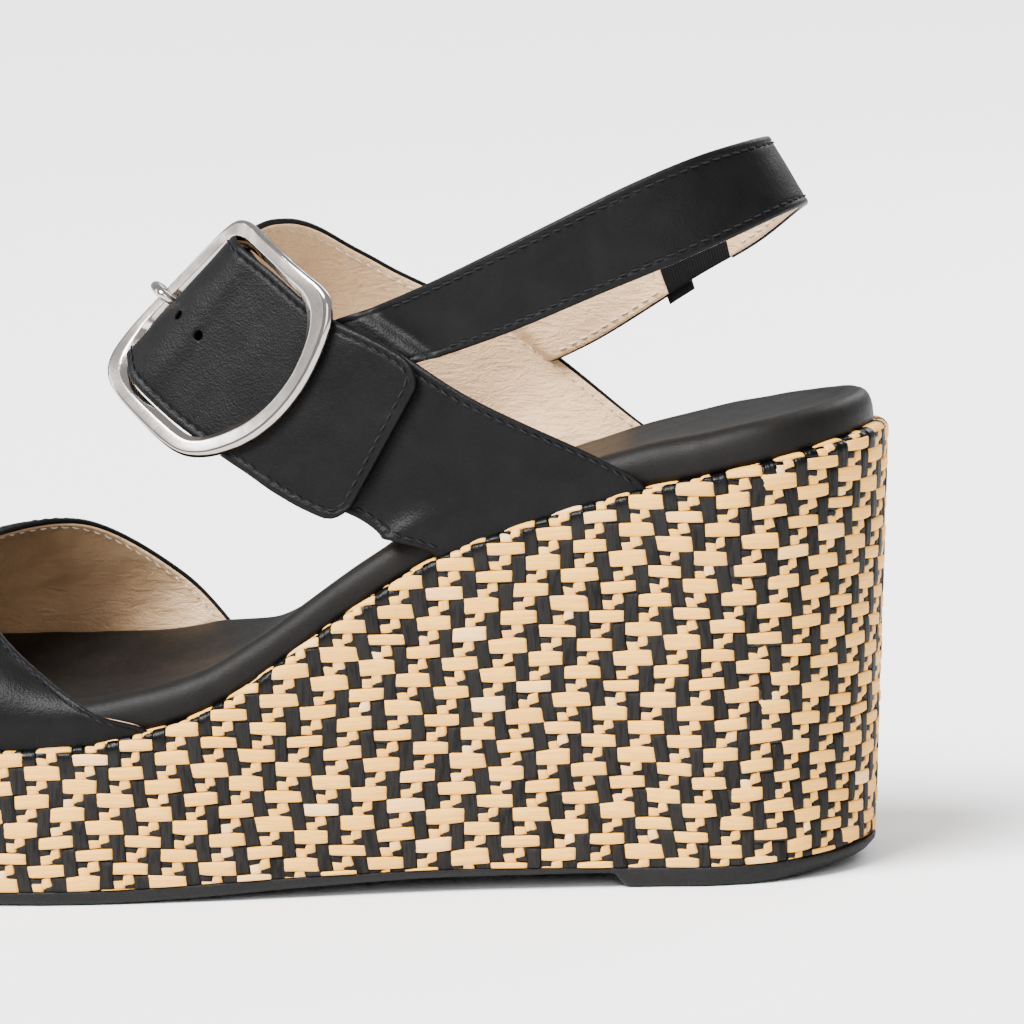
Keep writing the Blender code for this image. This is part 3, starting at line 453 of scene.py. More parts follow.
def stitches(name, lines, mat, **kw):
    V, F, off = [], [], 0
    for pts, nrm in lines:
        v, f = stitch_row(np.asarray(pts), np.asarray(nrm), **kw)
        if not v:
            continue
        v = np.concatenate(v)
        V.append(v)
        F += [tuple(i + off for i in q) for q in f]
        off += len(v)
    V = np.concatenate(V)
    return build(name, V, F, [mat])


def edge_line(rb, s, dist, height, side=0, lift=None):
    """Line at a distance from the edge of a ribbon (side 0 = t 0, side 1 = t 1)."""
    s = np.asarray(s, float)
    W = rb.width(s)
    d = np.broadcast_to(dist, s.shape)
    t = d / W if side == 0 else 1 - d / W
    P, N = rb.at(s, t)
    h = height + (lift(s) if lift is not None else 0)
    return P + N * (h[:, None] if isinstance(h, np.ndarray) else h), N


def sweep(name, C, T, A, B, profile, mats, cyclic=True, mat_of=None):
    """Closed profile (u, v) points swept along C with side axis A and height axis B."""
    prof = np.asarray(profile, float)
    if prof.ndim == 2:
        prof = np.repeat(prof[None], len(C), 0)
    ring = C[:, None] + prof[:, :, :1] * A[:, None] + prof[:, :, 1:2] * B[:, None]
    n, k = ring.shape[:2]
    F = [tuple(q) for q in quads(n, k, 0, wrap_s=cyclic, wrap_t=True)]
    mi = None
    if mat_of is not None:
        mi = [mat_of[int(i % k)] for i in range(len(F))]
    if not cyclic:
        F.append(tuple(range(k)))
        F.append(tuple((n - 1) * k + i for i in range(k))[::-1])
        if mi is not None:
            mi += [0, 0]
    uv = np.stack(np.meshgrid(np.arange(n) * 1.0, np.arange(k) * 1.0, indexing="ij"), -1)
    return build(name, ring, F, mats, uv=uv, mat_index=mi)


def outward(ob):
    bm = bmesh.new()
    bm.from_mesh(ob.data)
    bmesh.ops.recalc_face_normals(bm, faces=bm.faces)
    bm.to_mesh(ob.data)
    bm.free()
    ob.data.polygons.foreach_set("use_smooth", np.full(len(ob.data.polygons), True))
    ob.data.update()
    return ob


# ---------------------------------------------------------------- materials
class Nodes:
    def __init__(self, name, rough=0.5, metal=0.0, **sock):
        self.m = bpy.data.materials.new(name)
        self.m.use_nodes = True
        self.t = self.m.node_tree
        self.b = self.t.nodes["Principled BSDF"]
        self.b.inputs["Roughness"].default_value = rough
        self.b.inputs["Metallic"].default_value = metal
        for k, v in sock.items():
            self.b.inputs[k.replace("_", " ")].default_value = v

    def n(self, kind, inputs=None, **props):
        nd = self.t.nodes.new(kind)
        for k, v in props.items():
            setattr(nd, k, v)
        for k, v in (inputs or {}).items():
            if isinstance(v, bpy.types.NodeSocket):
                self.t.links.new(v, nd.inputs[k])
            else:
                nd.inputs[k].default_value = v
        return nd

    def obj(self, scale):
        """Object coordinates in millimetres times scale (number or triple)."""
        tc = self.n("ShaderNodeTexCoord")
        s = (scale,) * 3 if isinstance(scale, (int, float)) else scale
        mp = self.n("ShaderNodeMapping", {"Vector": tc.outputs["Object"]})
        mp.inputs["Scale"].default_value = [1000 * v for v in s]
        return mp.outputs[0]

    def uv(self, scale):
        u = self.n("ShaderNodeUVMap", uv_map="mm")
        mp = self.n("ShaderNodeMapping", {"Vector": u.outputs[0]})
        mp.inputs["Scale"].default_value = (scale[0], scale[1], 1)
        return mp.outputs[0]

    def noise(self, vec, scale=1.0, detail=4.0, rough=0.55, dist=0.0):
        return self.n("ShaderNodeTexNoise", {"Vector": vec, "Scale": scale, "Detail": detail, "Roughness": rough,
                                             "Distortion": dist}).outputs["Fac"]

    def voronoi(self, vec, scale=1.0, feature="F1", rnd=1.0):
        v = self.n("ShaderNodeTexVoronoi", feature=feature)
        self.t.links.new(vec, v.inputs["Vector"])
        v.inputs["Scale"].default_value = scale
        v.inputs["Randomness"].default_value = rnd
        return v.outputs["Distance"]

    def math(self, op, a, b=0.0, clamp=False):
        nd = self.n("ShaderNodeMath", operation=op, use_clamp=clamp)
        for i, v in enumerate((a, b)):
            if isinstance(v, bpy.types.NodeSocket):
                self.t.links.new(v, nd.inputs[i])
            else:
                nd.inputs[i].default_value = v
        return nd.outputs[0]

    def span(self, v, a, b, c, d):
        return self.n("ShaderNodeMapRange", {"Value": v, "From Min": a, "From Max": b, "To Min": c, "To Max": d}).outputs[0]

    def mix(self, f, a, b, mode="MIX"):
        nd = self.n("ShaderNodeMix", data_type="RGBA", blend_type=mode)
        for k, v in (("Factor", f), ("A", a), ("B", b)):
            sk = [i for i in nd.inputs if i.name == k and (k == "Factor" and i.type == "VALUE" or k != "Factor" and i.type == "RGBA")][0]
            if isinstance(v, bpy.types.NodeSocket):
                self.t.links.new(v, sk)
            else:
                sk.default_value = v if k == "Factor" else (*v, 1) if len(v) == 3 else v
        return [o for o in nd.outputs if o.type == "RGBA"][0]

    def ramp(self, f, stops):
        nd = self.n("ShaderNodeValToRGB", {"Fac": f})
        el = nd.color_ramp.elements
        while len(el) < len(stops):
            el.new(0.5)
        for e, (p, c) in zip(el, stops):
            e.position = p
            e.color = (*c, 1) if len(c) == 3 else c
        return nd.outputs["Color"]

    def attr(self, name):
        return self.n("ShaderNodeAttribute", attribute_name=name).outputs["Fac"]

    def color(self, v):
        self.t.links.new(v, self.b.inputs["Base Color"])

    def rough(self, v):
        self.t.links.new(v, self.b.inputs["Roughness"])

    def bump(self, layers):
        """layers: (height socket, depth in mm), chained."""
        prev = None
        for h, depth in layers:
            nd = self.n("ShaderNodeBump", {"Height": h, "Strength": 1.0, "Distance": depth * MM})
            if prev is not None:
                self.t.links.new(prev, nd.inputs["Normal"])
            prev = nd.outputs[0]
        self.t.links.new(prev, self.b.inputs["Normal"])
        return self.m


def leather_mat(name, dark, light, rough, grain=1.0, wrinkle=0.12, sheen=0.0, coat=0.0, spec=0.4):
    k = Nodes(name, rough)
    o = k.obj(1.0)
    cells = k.voronoi(o, 1.75 / grain)
    fine = k.noise(o, 3.2, 5, 0.6)
    soft = k.noise(o, 0.10, 4, 0.55, 0.6)
    mid = k.noise(o, 0.45, 5, 0.6, 0.8)
    k.color(k.mix(k.span(k.math("ADD", k.math("MULTIPLY", soft, 0.6), k.math("MULTIPLY", fine, 0.4)), 0.35, 0.65, 0, 1), dark, light))
    k.rough(k.span(k.math("ADD", k.math("MULTIPLY", mid, 0.5), k.math("MULTIPLY", cells, 0.5)), 0.2, 0.75, rough - 0.07, rough + 0.09))
    k.b.inputs["Specular IOR Level"].default_value = spec
    if sheen:
        k.b.inputs["Sheen Weight"].default_value = sheen
        k.b.inputs["Sheen Roughness"].default_value = 0.5
    if coat:
        k.b.inputs["Coat Weight"].default_value = coat
        k.b.inputs["Coat Roughness"].default_value = 0.35
    return k.bump([(k.noise(o, 0.16, 3, 0.5, 0.4), wrinkle), (mid, wrinkle * 0.6), (cells, 0.065 * grain), (fine, 0.04)])


M_BLACK = leather_mat("black_leather", (0.0016, 0.0016, 0.0017), (0.0040, 0.0039, 0.0040), 0.40, grain=0.75, wrinkle=0.10, spec=0.085)
M_FOOT = leather_mat("footbed_leather", (0.0028, 0.0025, 0.0023), (0.0062, 0.0053, 0.0047), 0.47, grain=0.5, wrinkle=0.06, spec=0.10)

k = Nodes("beige_lining", 0.62)
o = k.obj(1.0)
blot = k.noise(o, 0.09, 5, 0.6, 0.8)
pore = k.voronoi(o, 1.6)
fibre = k.noise(o, 2.2, 6, 0.65)
crease = k.noise(k.obj((0.17, 0.17, 0.55)), 1.0, 5, 0.6, 1.1)
base = k.mix(k.span(blot, 0.3, 0.7, 0, 1), (0.50, 0.315, 0.165), (0.65, 0.425, 0.235))
base = k.mix(k.span(crease, 0.36, 0.5, 0.25, 0.0), base, (0.42, 0.235, 0.105))
base = k.mix(k.span(fibre, 0.35, 0.7, 0.0, 0.35), base, (0.72, 0.50, 0.29))
# painted shade: the lining is darkened towards deep brown in a band along object x (mm), strongest from -60 to -80 and
# weaker beyond, where the vamp shades the inside
toe = k.n("ShaderNodeSeparateXYZ", {"Vector": k.obj(1.0)}).outputs[0]
painted_shade_under_vamp = k.math("MULTIPLY", k.span(toe, -32.0, -60.0, 0.0, 0.8), k.span(toe, -80.0, -112.0, 1.0, 0.2))
base = k.mix(painted_shade_under_vamp, base, (0.13, 0.065, 0.028))
k.color(base)
k.rough(k.span(fibre, 0.3, 0.7, 0.52, 0.72))
k.b.inputs["Specular IOR Level"].default_value = 0.3
M_LINING = k.bump([(crease, 0.5), (blot, 0.4), (pore, 0.07), (fibre, 0.06)])

k = Nodes("tan_strip", 0.6)
tint, side = k.attr("tint"), k.attr("shade")
fib = k.noise(k.uv((0.22, 4.2)), 1.0, 6, 0.62, 0.25)
fibre_and_highlight = k.noise(k.uv((0.07, 1.3)), 1.0, 3, 0.5, 0.1)
c = k.mix(k.span(fib, 0.32, 0.62, 0, 1), (0.60, 0.285, 0.042), (0.80, 0.405, 0.070))
# painted highlight: raised places of this coarse fibre noise (also a real bump) are lightened towards a bright tan
c = k.mix(k.span(fibre_and_highlight, 0.45, 0.75, 0.0, 0.5), c, (0.87, 0.50, 0.115))
c = k.mix(k.span(tint, 0.90, 1.0, 0.0, 0.5), c, (0.86, 0.62, 0.34))
c = k.mix(k.span(tint, 0.0, 0.2, 0.5, 0.0), c, (0.62, 0.30, 0.05))
# painted shade: the tan is darkened to brown where the strip dives under its neighbours (the shade attribute, read here
# as side)
c = k.mix(side, (0.34, 0.15, 0.03), c)
k.color(c)
k.rough(k.span(fib, 0.3, 0.7, 0.68, 0.5))
k.b.inputs["Specular IOR Level"].default_value = 0.22
M_TAN = k.bump([(fibre_and_highlight, 0.14), (fib, 0.12)])

k = Nodes("black_strip", 0.6)
tint, side, edge_a = k.attr("tint"), k.attr("shade"), k.attr("gloss")
fib = k.noise(k.uv((0.35, 3.4)), 1.0, 5, 0.6, 0.2)
crease = k.noise(k.uv((0.16, 1.1)), 1.0, 3, 0.5, 0.4)
c = k.mix(k.span(fib, 0.3, 0.7, 0, 1), (0.0042, 0.0038, 0.0034), (0.0095, 0.0086, 0.0078))
c = k.mix(k.span(crease, 0.52, 0.60, 0.0, 0.85), c, (0.0006, 0.0006, 0.0005))
c = k.mix(k.span(tint, 0, 1, 0.0, 0.3), c, (0.014, 0.013, 0.012))
# painted shade: the black is darkened further where the strip dives under its neighbours (the shade attribute, read
# here as side)
c = k.mix(side, (0.0015, 0.0013, 0.0011), c)
c = k.mix(edge_a, c, (0.001, 0.001, 0.001))
k.color(c)
k.rough(k.math("SUBTRACT", k.span(fib, 0.3, 0.7, 0.62, 0.5), k.math("MULTIPLY", edge_a, 0.3)))
k.b.inputs["Specular IOR Level"].default_value = 0.11
M_STRIP = k.bump([(crease, 0.3), (fib, 0.09)])

k = Nodes("weave_under", 0.7)
n1 = k.noise(k.obj(0.8), 1.0, 5, 0.6)
k.color(k.mix(n1, (0.0012, 0.001, 0.0008), (0.005, 0.0036, 0.0022)))
k.rough(k.span(n1, 0.3, 0.7, 0.5, 0.8))
M_UNDER = k.bump([(n1, 0.3)])


def metal_mat(name, rough, brushed):
    k = Nodes(name, rough, 1.0)
    o = k.obj(1.0)
    tone = k.noise(o, 0.12, 3, 0.5)
    fine = k.noise(o, 5.0, 4, 0.6)
    scr = k.noise(k.obj((0.5, 4.0, 0.5)), 1.0, 4, 0.6, 0.3)
    k.color(k.mix(k.span(tone, 0.3, 0.7, 0, 1), (0.31, 0.278, 0.255), (0.40, 0.363, 0.338)))
    k.rough(k.span(k.math("ADD", k.math("MULTIPLY", fine, 0.5), k.math("MULTIPLY", scr, 0.5)), 0.3, 0.7, rough - 0.05 * brushed, rough + 0.06 * brushed))
    return k.bump([(scr, 0.006 * brushed), (fine, 0.008 * brushed), (tone, 0.22)])


M_SATIN = metal_mat("satin_nickel", 0.30, 1.0)
M_POLISH = metal_mat("polished_nickel", 0.13, 0.3)

k = Nodes("ribbed_elastic", 0.85)
yarn = k.noise(k.uv((1.2, 6.0)), 1.0, 4, 0.6)
pick = k.n("ShaderNodeTexWave", {"Vector": k.uv((0.0, 1.0)), "Scale": 1.15, "Distortion": 0.4}, bands_direction="Y").outputs["Fac"]
k.color(k.mix(k.span(yarn, 0.3, 0.7, 0, 1), (0.0015, 0.0015, 0.0018), (0.0045, 0.0043, 0.0045)))
k.rough(k.span(yarn, 0.3, 0.7, 0.75, 0.95))
k.b.inputs["Specular IOR Level"].default_value = 0.1
k.b.inputs["Sheen Weight"].default_value = 0.03
M_GORE = k.bump([(pick, 0.05), (yarn, 0.06)])

k = Nodes("sole_rubber", 0.55)
o = k.obj(1.0)
peb = k.voronoi(o, 1.8)
cloud = k.noise(o, 0.08, 5, 0.6)
dust = k.noise(o, 1.6, 6, 0.7)
k.color(k.mix(k.span(k.math("ADD", k.math("MULTIPLY", cloud, 0.5), k.math("MULTIPLY", dust, 0.5)), 0.35, 0.65, 0, 1), (0.0042, 0.0042, 0.0044), (0.0085, 0.0082, 0.0082)))
k.rough(k.span(dust, 0.3, 0.7, 0.45, 0.65))
k.b.inputs["Specular IOR Level"].default_value = 0.12
M_RUBBER = k.bump([(cloud, 0.25), (peb, 0.08), (dust, 0.05)])


def thread_mat(name, a, b, spec):
    k = Nodes(name, 0.6)
    o = k.obj(1.0)
    tw = k.n("ShaderNodeTexWave", {"Vector": k.obj((0.7, 0.7, 0.7)), "Scale": 3.0, "Distortion": 1.5}, bands_direction="DIAGONAL").outputs["Fac"]
    fz = k.noise(o, 4.0, 4, 0.6)
    k.color(k.mix(k.math("ADD", k.math("MULTIPLY", tw, 0.6), k.math("MULTIPLY", fz, 0.4)), a, b))
    k.rough(k.span(fz, 0.3, 0.7, 0.5, 0.75))
    k.b.inputs["Specular IOR Level"].default_value = spec
    return k.bump([(tw, 0.06), (fz, 0.03)])


M_THREAD = thread_mat("grey_thread", (0.0055, 0.0055, 0.0068), (0.014, 0.014, 0.0175), 0.12)
M_THREAD_W = thread_mat("white_thread", (0.50, 0.44, 0.34), (0.70, 0.63, 0.52), 0.3)

k = Nodes("wedge_foam", 0.85)
o = k.obj(1.0)
k.color(k.mix(k.noise(o, 0.9, 5, 0.6), (0.22, 0.17, 0.12), (0.38, 0.31, 0.23)))
M_CORE = k.bump([(k.voronoi(o, 1.0), 0.3)])
k = Nodes("insole_board", 0.85)
o = k.obj(1.0)
k.color(k.mix(k.noise(o, 0.7, 6, 0.7), (0.24, 0.17, 0.10), (0.42, 0.31, 0.20)))
M_BOARD = k.bump([(k.noise(o, 2.0, 4, 0.6), 0.1)])


WORLD, KEY, FRONT, BACK, LEFT, SUN = 0.72, 25, 14, 14, 6, 11.0


# ---------------------------------------------------------------- outline rings: outsole and footbed
OC = np.vstack([OUT, OUT[:1]])
S_CUM = np.concatenate([[0], np.cumsum(np.linalg.norm(np.diff(OC, axis=0), axis=1))])
PER = S_CUM[-1]
NC = np.vstack([OUT_N, OUT_N[:1]])


def ring_at(s):
    x, y = np.interp(s, S_CUM, OC[:, 0]), np.interp(s, S_CUM, OC[:, 1])
    nx, ny = np.interp(s, S_CUM, NC[:, 0]), np.interp(s, S_CUM, NC[:, 1])
    ln = np.sqrt(nx * nx + ny * ny)
    return x, y, nx / ln, ny / ln


N_RING = 520
RING_S = np.linspace(0, PER, N_RING, endpoint=False)


def ring_body(name, levels, mats, spine, fill_top, fill_bottom, inner=9, disp=None):
    """levels: (inset of x, height of x), bottom first; both ends close on a spine line."""
    x0, y0, nx, ny = ring_at(RING_S)
    rows = []
    for ins, zf in levels:
        i = ins(x0)
        x, y = x0 + nx * i, y0 + ny * i
        rows.append(np.stack([x, y, zf(x, y)], 1))

    def fill(row, zf):
        sx = np.clip(row[:, 0], spine[0], spine[1])
        sy = 0.5 * (np.interp(sx, XT, LEFT_T) + np.interp(sx, XT, RIGHT_T))
        out = []
        for k in range(1, inner + 1):
            f = k / inner
            x = row[:, 0] * (1 - f) + sx * f
            y = row[:, 1] * (1 - f) + sy * f
            out.append(np.stack([x, y, zf(x, y)], 1))
        return out
    top = fill(rows[-1], fill_top)
    bot = fill(rows[0], fill_bottom)[::-1]
    allr = bot + rows + top
    V = np.concatenate(allr)
    if disp is not None:
        V = disp(V)
    F = quads(len(allr), N_RING, 0, wrap_t=True)
    uv = np.stack([np.tile(RING_S, len(allr)), np.repeat(np.arange(len(allr)) * 1.0, N_RING)], 1)
    ob = build(name, V, F, mats, uv=uv)
    bm = bmesh.new()
    bm.from_mesh(ob.data)
    bmesh.ops.remove_doubles(bm, verts=bm.verts, dist=0.00002)
    bmesh.ops.dissolve_degenerate(bm, edges=bm.edges, dist=0.000005)
    bmesh.ops.recalc_face_normals(bm, faces=bm.faces)
    bm.to_mesh(ob.data)
    bm.free()
    ob.data.polygons.foreach_set("use_smooth", np.full(len(ob.data.polygons), True))
    ob.data.update()
    return ob


def heel_v(x):
    t = np.clip((x - 50) / 22, 0, 1)
    return t * t * (3 - 2 * t)


def sole_in(x):
    return tap_v(x) * (rim_v(x) - top_v(x))


sole = ring_body("sole", [
    (lambda x: sole_in(x) + 2.6 + 1.2 * heel_v(x), lambda x, y: bot_v(x)),
    (lambda x: sole_in(x) + 1.2 + 1.1 * heel_v(x), lambda x, y: bot_v(x) + 0.05),
    (lambda x: sole_in(x) + 0.6 + 0.8 * heel_v(x), lambda x, y: bot_v(x) + 0.32),
    (lambda x: sole_in(x) + 0.2 + 0.5 * heel_v(x), lambda x, y: bot_v(x) + 0.9),
    (lambda x: sole_in(x) - 0.05, lambda x, y: 0.5 * bot_v(x) + 0.5 * top_v(x) + 0.3),
    (lambda x: sole_in(x) - 0.25, lambda x, y: top_v(x) - 0.35),
    (lambda x: sole_in(x) - 0.1, lambda x, y: top_v(x) - 0.05),
    (lambda x: sole_in(x) + 0.3, lambda x, y: top_v(x) + 0.06),
    (lambda x: sole_in(x) + 2.5, lambda x, y: top_v(x)),
], [M_RUBBER], (-135, 50), lambda x, y: top_v(x), lambda x, y: bot_v(x))
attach(sole, "sandal")
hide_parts("outsole")


def heel_in(x):
    t = np.clip((x - 34) / 10, 0, 1)
    return COVER_IN_SIDE + (COVER_IN_HEEL - COVER_IN_SIDE) * t * t * (3 - 2 * t)


def dish_v(x, y):
    a, b = np.interp(x, XT, LEFT_T), np.interp(x, XT, RIGHT_T)
    w, c = 0.5 * (b - a), 0.5 * (a + b)
    return 1.3 * np.maximum(0.0, 1 - ((y - c) / np.maximum(10.0, w - 6)) ** 2)


def arch_v(x, y):
    """The footbed turns up a little along the inner edge of the forefoot."""
    a, b = np.interp(x, XT, LEFT_T), np.interp(x, XT, RIGHT_T)
    f = np.clip(((y - a) / (b - a) - 0.55) / 0.35, 0, 1)
    g = np.clip((-48 - x) / 22, 0, 1)
    return 3.6 * f * f * (3 - 2 * f) * g * g * (3 - 2 * g)


def bed_disp(V):
    """Soft creases of the leather rolled over the foam, strongest round the rolled edge."""
    z = V[:, 2] - rim_v(V[:, 0])
    on = np.clip(z / 3, 0, 1)
    w = ripple(V * np.array([1.0, 1.0, 0.5]), 13.0, 3)
    w2 = ripple(V * np.array([1.6, 1.6, 0.4]), 6.0, 4)
    toe = np.clip((-60 - V[:, 0]) / 40, 0, 1)
    V = V.copy()
    V[:, 2] += on * (0.10 * w + 0.05 * w2 * toe) + np.clip(z / 6, 0, 1) * arch_v(V[:, 0], V[:, 1])
    return V


BED = []
for q in [0, 6, 14, 24, 35, 46, 56, 65, 73, 80, 86, 90]:
    cs, sn = math.cos(math.radians(q)), math.sin(math.radians(q))
    e = 2 / 3.1
    di, dz = 6.6 * (1 - cs ** e if cs > 1e-9 else 1.0), FOOTBED_H * sn ** e
    BED.append((lambda x, di=di: heel_in(x) + di, lambda x, y, dz=dz, di=di: rim_v(x) + dz - dish_v(x, y) * (di / 6.6) ** 2))
footbed = ring_body("footbed", [(lambda x: heel_in(x) + 1.5, lambda x, y: rim_v(x) - 0.0)] + BED, [M_FOOT], (-128, 44),
                    lambda x, y: rim_v(x) + FOOTBED_H - dish_v(x, y), lambda x, y: rim_v(x), inner=14, disp=bed_disp)
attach(footbed, "sandal")
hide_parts("footbed_cover", "footbed_foam")

# ---------------------------------------------------------------- woven wrap
COLS = 7 * 33
CW = PER / COLS
PH = 2.8
Z_TOP = 92.4
ROLL = 1.5


def wall_pt(s, z, h):
    """Point on the wedge wall at arc s (toe to heel on the outer side) and height z, h mm proud of it."""
    x, y, nx, ny = ring_at(np.mod(PER - s, PER))
    rz = rim_v(x)
    e = z - (rz - ROLL)
    ang = np.clip(e / ROLL, 0, math.pi / 2)
    ex = np.clip(e - ROLL * math.pi / 2, 0, 3.2)
    zz = np.where(e <= 0, z, rz - ROLL + ROLL * np.sin(ang))
    ins = tap_v(x) * (rz - np.minimum(z, rz - ROLL)) + ROLL * (1 - np.cos(ang)) + ex
    ins = ins - h * np.cos(ang)
    zz = zz + h * np.sin(ang)
    lo = top_v(x) + 0.12
    return np.stack([x + nx * ins, y + ny * ins, np.maximum(zz, lo)], -1), e


def wander(s, z):
    ds = 0.32 * np.sin(s * 0.083 + z * 0.12) + 0.22 * np.sin(s * 0.21 - z * 0.31 + 1.0)
    dz = 0.30 * np.sin(s * 0.061 + 0.4) + 0.22 * np.sin(s * 0.17 + z * 0.11 + 2.0)
    return s + ds, z + dz


def strips(name, sc, zc, hl, hw, amp, mats, along="s", nu=(0, .03, .1, .28, .5, .72, .9, .97, 1),
           nv=(0, .035, .12, .32, .5, .68, .88, .965, 1), base=-0.36, skew=0.0, taper_v=0.0, barrel=0.07, phase=0):
    """A family of flat woven strips: each an arched patch whose border dives under its neighbours."""
    rs = np.random.RandomState(50 + phase)
    K = len(sc)
    U, V = np.meshgrid(np.array(nu) * 2 - 1, np.array(nv) * 2 - 1, indexing="ij")
    U, V = U[None], V[None]
    r = lambda a: rs.uniform(-a, a, (K, 1, 1))
    L = hl * (1 + r(0.05))
    H = hw[:, None, None] if isinstance(hw, np.ndarray) else hw * (1 + r(0.12))
    H = H * (1 - barrel * U ** 2 + r(0.08) * U + taper_v * U)
    a_, b_ = L * U + (skew + r(0.10)) * V, H * V + r(0.16) * U + r(0.14) * U * U
    hu, hv = np.clip(1 - np.abs(U) ** 7, 0, 1), np.clip(1 - np.abs(V) ** 8, 0, 1)
    h = base + (amp - base + r(0.10)) * hu ** 0.5 * hv ** 0.45 - 0.045 * np.cos(V * 7 + r(3)) * hv * hu
    if along == "s":
        s, z = sc[:, None, None] + a_, zc[:, None, None] + b_
    else:
        s, z = sc[:, None, None] + b_, zc[:, None, None] + a_
    s, z = wander(s, z)
    P, e = wall_pt(s, z, h + 0 * s)
    x = P[..., 0]
    keep = ((z.max((1, 2)) > top_v(x).min((1, 2)) + 0.3) & (e.min((1, 2)) < 5.2))
    nu_, nv_ = len(nu), len(nv)
    P, h, e = P[keep], (h + 0 * s)[keep], e[keep]
    k = len(P)
    one = quads(nu_, nv_)
    F = (one[None] + (np.arange(k) * nu_ * nv_)[:, None, None]).reshape(-1, 4)
    tint = rs.uniform(0, 1, k)[:, None, None] + 0 * h
    off = rs.uniform(0, 400, (k, 1, 1))
    uv = np.stack([(a_ + 0 * s)[keep] + off, (b_ + 0 * s)[keep] + off * 0.37], -1)
    # painted shade mask: 0 along the low border where the strip dives under its neighbours, 1 over its crown
    shade = np.clip((h - base) / (amp - base) * 2.2, 0, 1)
    gloss = np.clip((e + 1.4) / 1.6, 0, 1)
    # the visible side faces out
    q = F[0]
    flat = P.reshape(-1, 3)
    mid = one[len(one) // 2]
    c = np.cross(flat[mid[1]] - flat[mid[0]], flat[mid[3]] - flat[mid[0]])
    ctr = flat[mid].mean(0)
    if np.dot(c[:2], ctr[:2] - np.array([-40.0, 0.0])) < 0:
        F = F[:, ::-1]
    return dict(v=flat, f=F, uv=uv.reshape(-1, 2), tint=tint.ravel(), shade=shade.ravel(), gloss=gloss.ravel())


def join_strips(name, parts, mats):
    V, F, U, T, S, G, off = [], [], [], [], [], [], 0
    for p in parts:
        V.append(p["v"])
        F.append(p["f"] + off)
        U.append(p["uv"])
        T.append(p["tint"])
        S.append(p["shade"])
        G.append(p["gloss"])
        off += len(p["v"])
    return build(name, np.concatenate(V), np.concatenate(F), mats, uv=np.concatenate(U),
                 attrs={"tint": np.concatenate(T), "shade": np.concatenate(S), "gloss": np.concatenate(G)})


rows_n = int((Z_TOP - 2) / PH) + 1
R_, M_ = np.meshgrid(np.arange(rows_n), np.arange(COLS // 7), indexing="ij")
R_, M_ = R_.ravel(), M_.ravel()
B_ = (7 * M_ + 3 * R_) % COLS
zt = Z_TOP - R_ * PH


def ss(c):
    return (B_ + c) * CW


hh = 1.38 + np.random.RandomState(5).uniform(-0.22, 0.24, len(B_)) + 0.10 * np.sin(R_ * 1.7)
FEW = dict(nu=(0, .05, .2, .5, .8, .95, 1), nv=(0, .06, .25, .5, .75, .94, 1))
tan_parts = [
    strips("rect", ss(1.5), zt - 0.5 * PH, 1.5 * CW + 0.10, hh, 0.40, None, phase=1),
    strips("stem", ss(5.36), zt - 0.33 * PH, 0.40 * PH, 0.45 * CW, 0.20, None, along="z", phase=2, taper_v=-0.14, skew=0.22, **FEW),
    strips("rise", ss(4.58), zt - 0.70 * PH, 0.46 * CW, 0.36 * PH, 0.17, None, phase=3, taper_v=-0.10, skew=-0.1, **FEW),
]
weave_tan = join_strips("weave_tan", tan_parts, [M_TAN])
black_parts = [
    strips("warp", ss(6.5), zt - 1.0 * PH, 1.0 * PH + 0.12, 0.61 * CW, 0.28, None, along="z", phase=4, barrel=-0.04,
           nu=(0, .02, .07, .2, .35, .5, .65, .8, .93, .98, 1)),
    strips("bit_a", ss(4.5), zt - 0.20 * PH, 0.50 * CW, 0.22 * PH, 0.10, None, phase=5, taper_v=-0.25, **FEW),
    strips("bit_b", ss(5.6), zt - 0.80 * PH, 0.46 * CW, 0.25 * PH, 0.12, None, phase=6, taper_v=0.3, **FEW),
]
weave_black = join_strips("weave_black", black_parts[:1], [M_STRIP])
weave_bits = join_strips("weave_black_bits", black_parts[1:], [M_STRIP])
# dark ground behind the strips, rolled over the rim like them
SG = 520
lev = np.concatenate([np.linspace(0, 1, 14) ** 1.0])
s_g = np.linspace(0, PER, SG, endpoint=False)
rows = []
xg, _, _, _ = ring_at(np.mod(PER - s_g, PER))
for f in list(lev[:-1]) + [None] * 7:
    pass
zs = [top_v(xg) + 0.12 + (rim_v(xg) - ROLL - top_v(xg) - 0.12) * f for f in np.linspace(0, 1, 14)]
zs += [rim_v(xg) - ROLL + d for d in (0.5, 1.0, 1.5, 2.0, 2.36, 3.4, 4.8)]
rows = [wall_pt(s_g, z, -0.42 + 0 * s_g)[0] for z in zs]
ground = build("weave_ground", np.concatenate(rows), quads(len(rows), SG, 0, wrap_t=True), [M_UNDER])
sol = ground.modifiers.new("back", "SOLIDIFY")
sol.thickness = 0.0006
sol.offset = -1
outward(ground)
for ob in (weave_tan, weave_black, weave_bits, ground):
    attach(ob, "sandal")
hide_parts("woven_wrap")

# hidden pieces keep their CAD shape and get a real finish
for nm, m in (("wedge_core", M_CORE), ("insole_board", M_BOARD)):
    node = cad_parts[nm]
    node.data.materials.clear()
    node.data.materials.append(m)

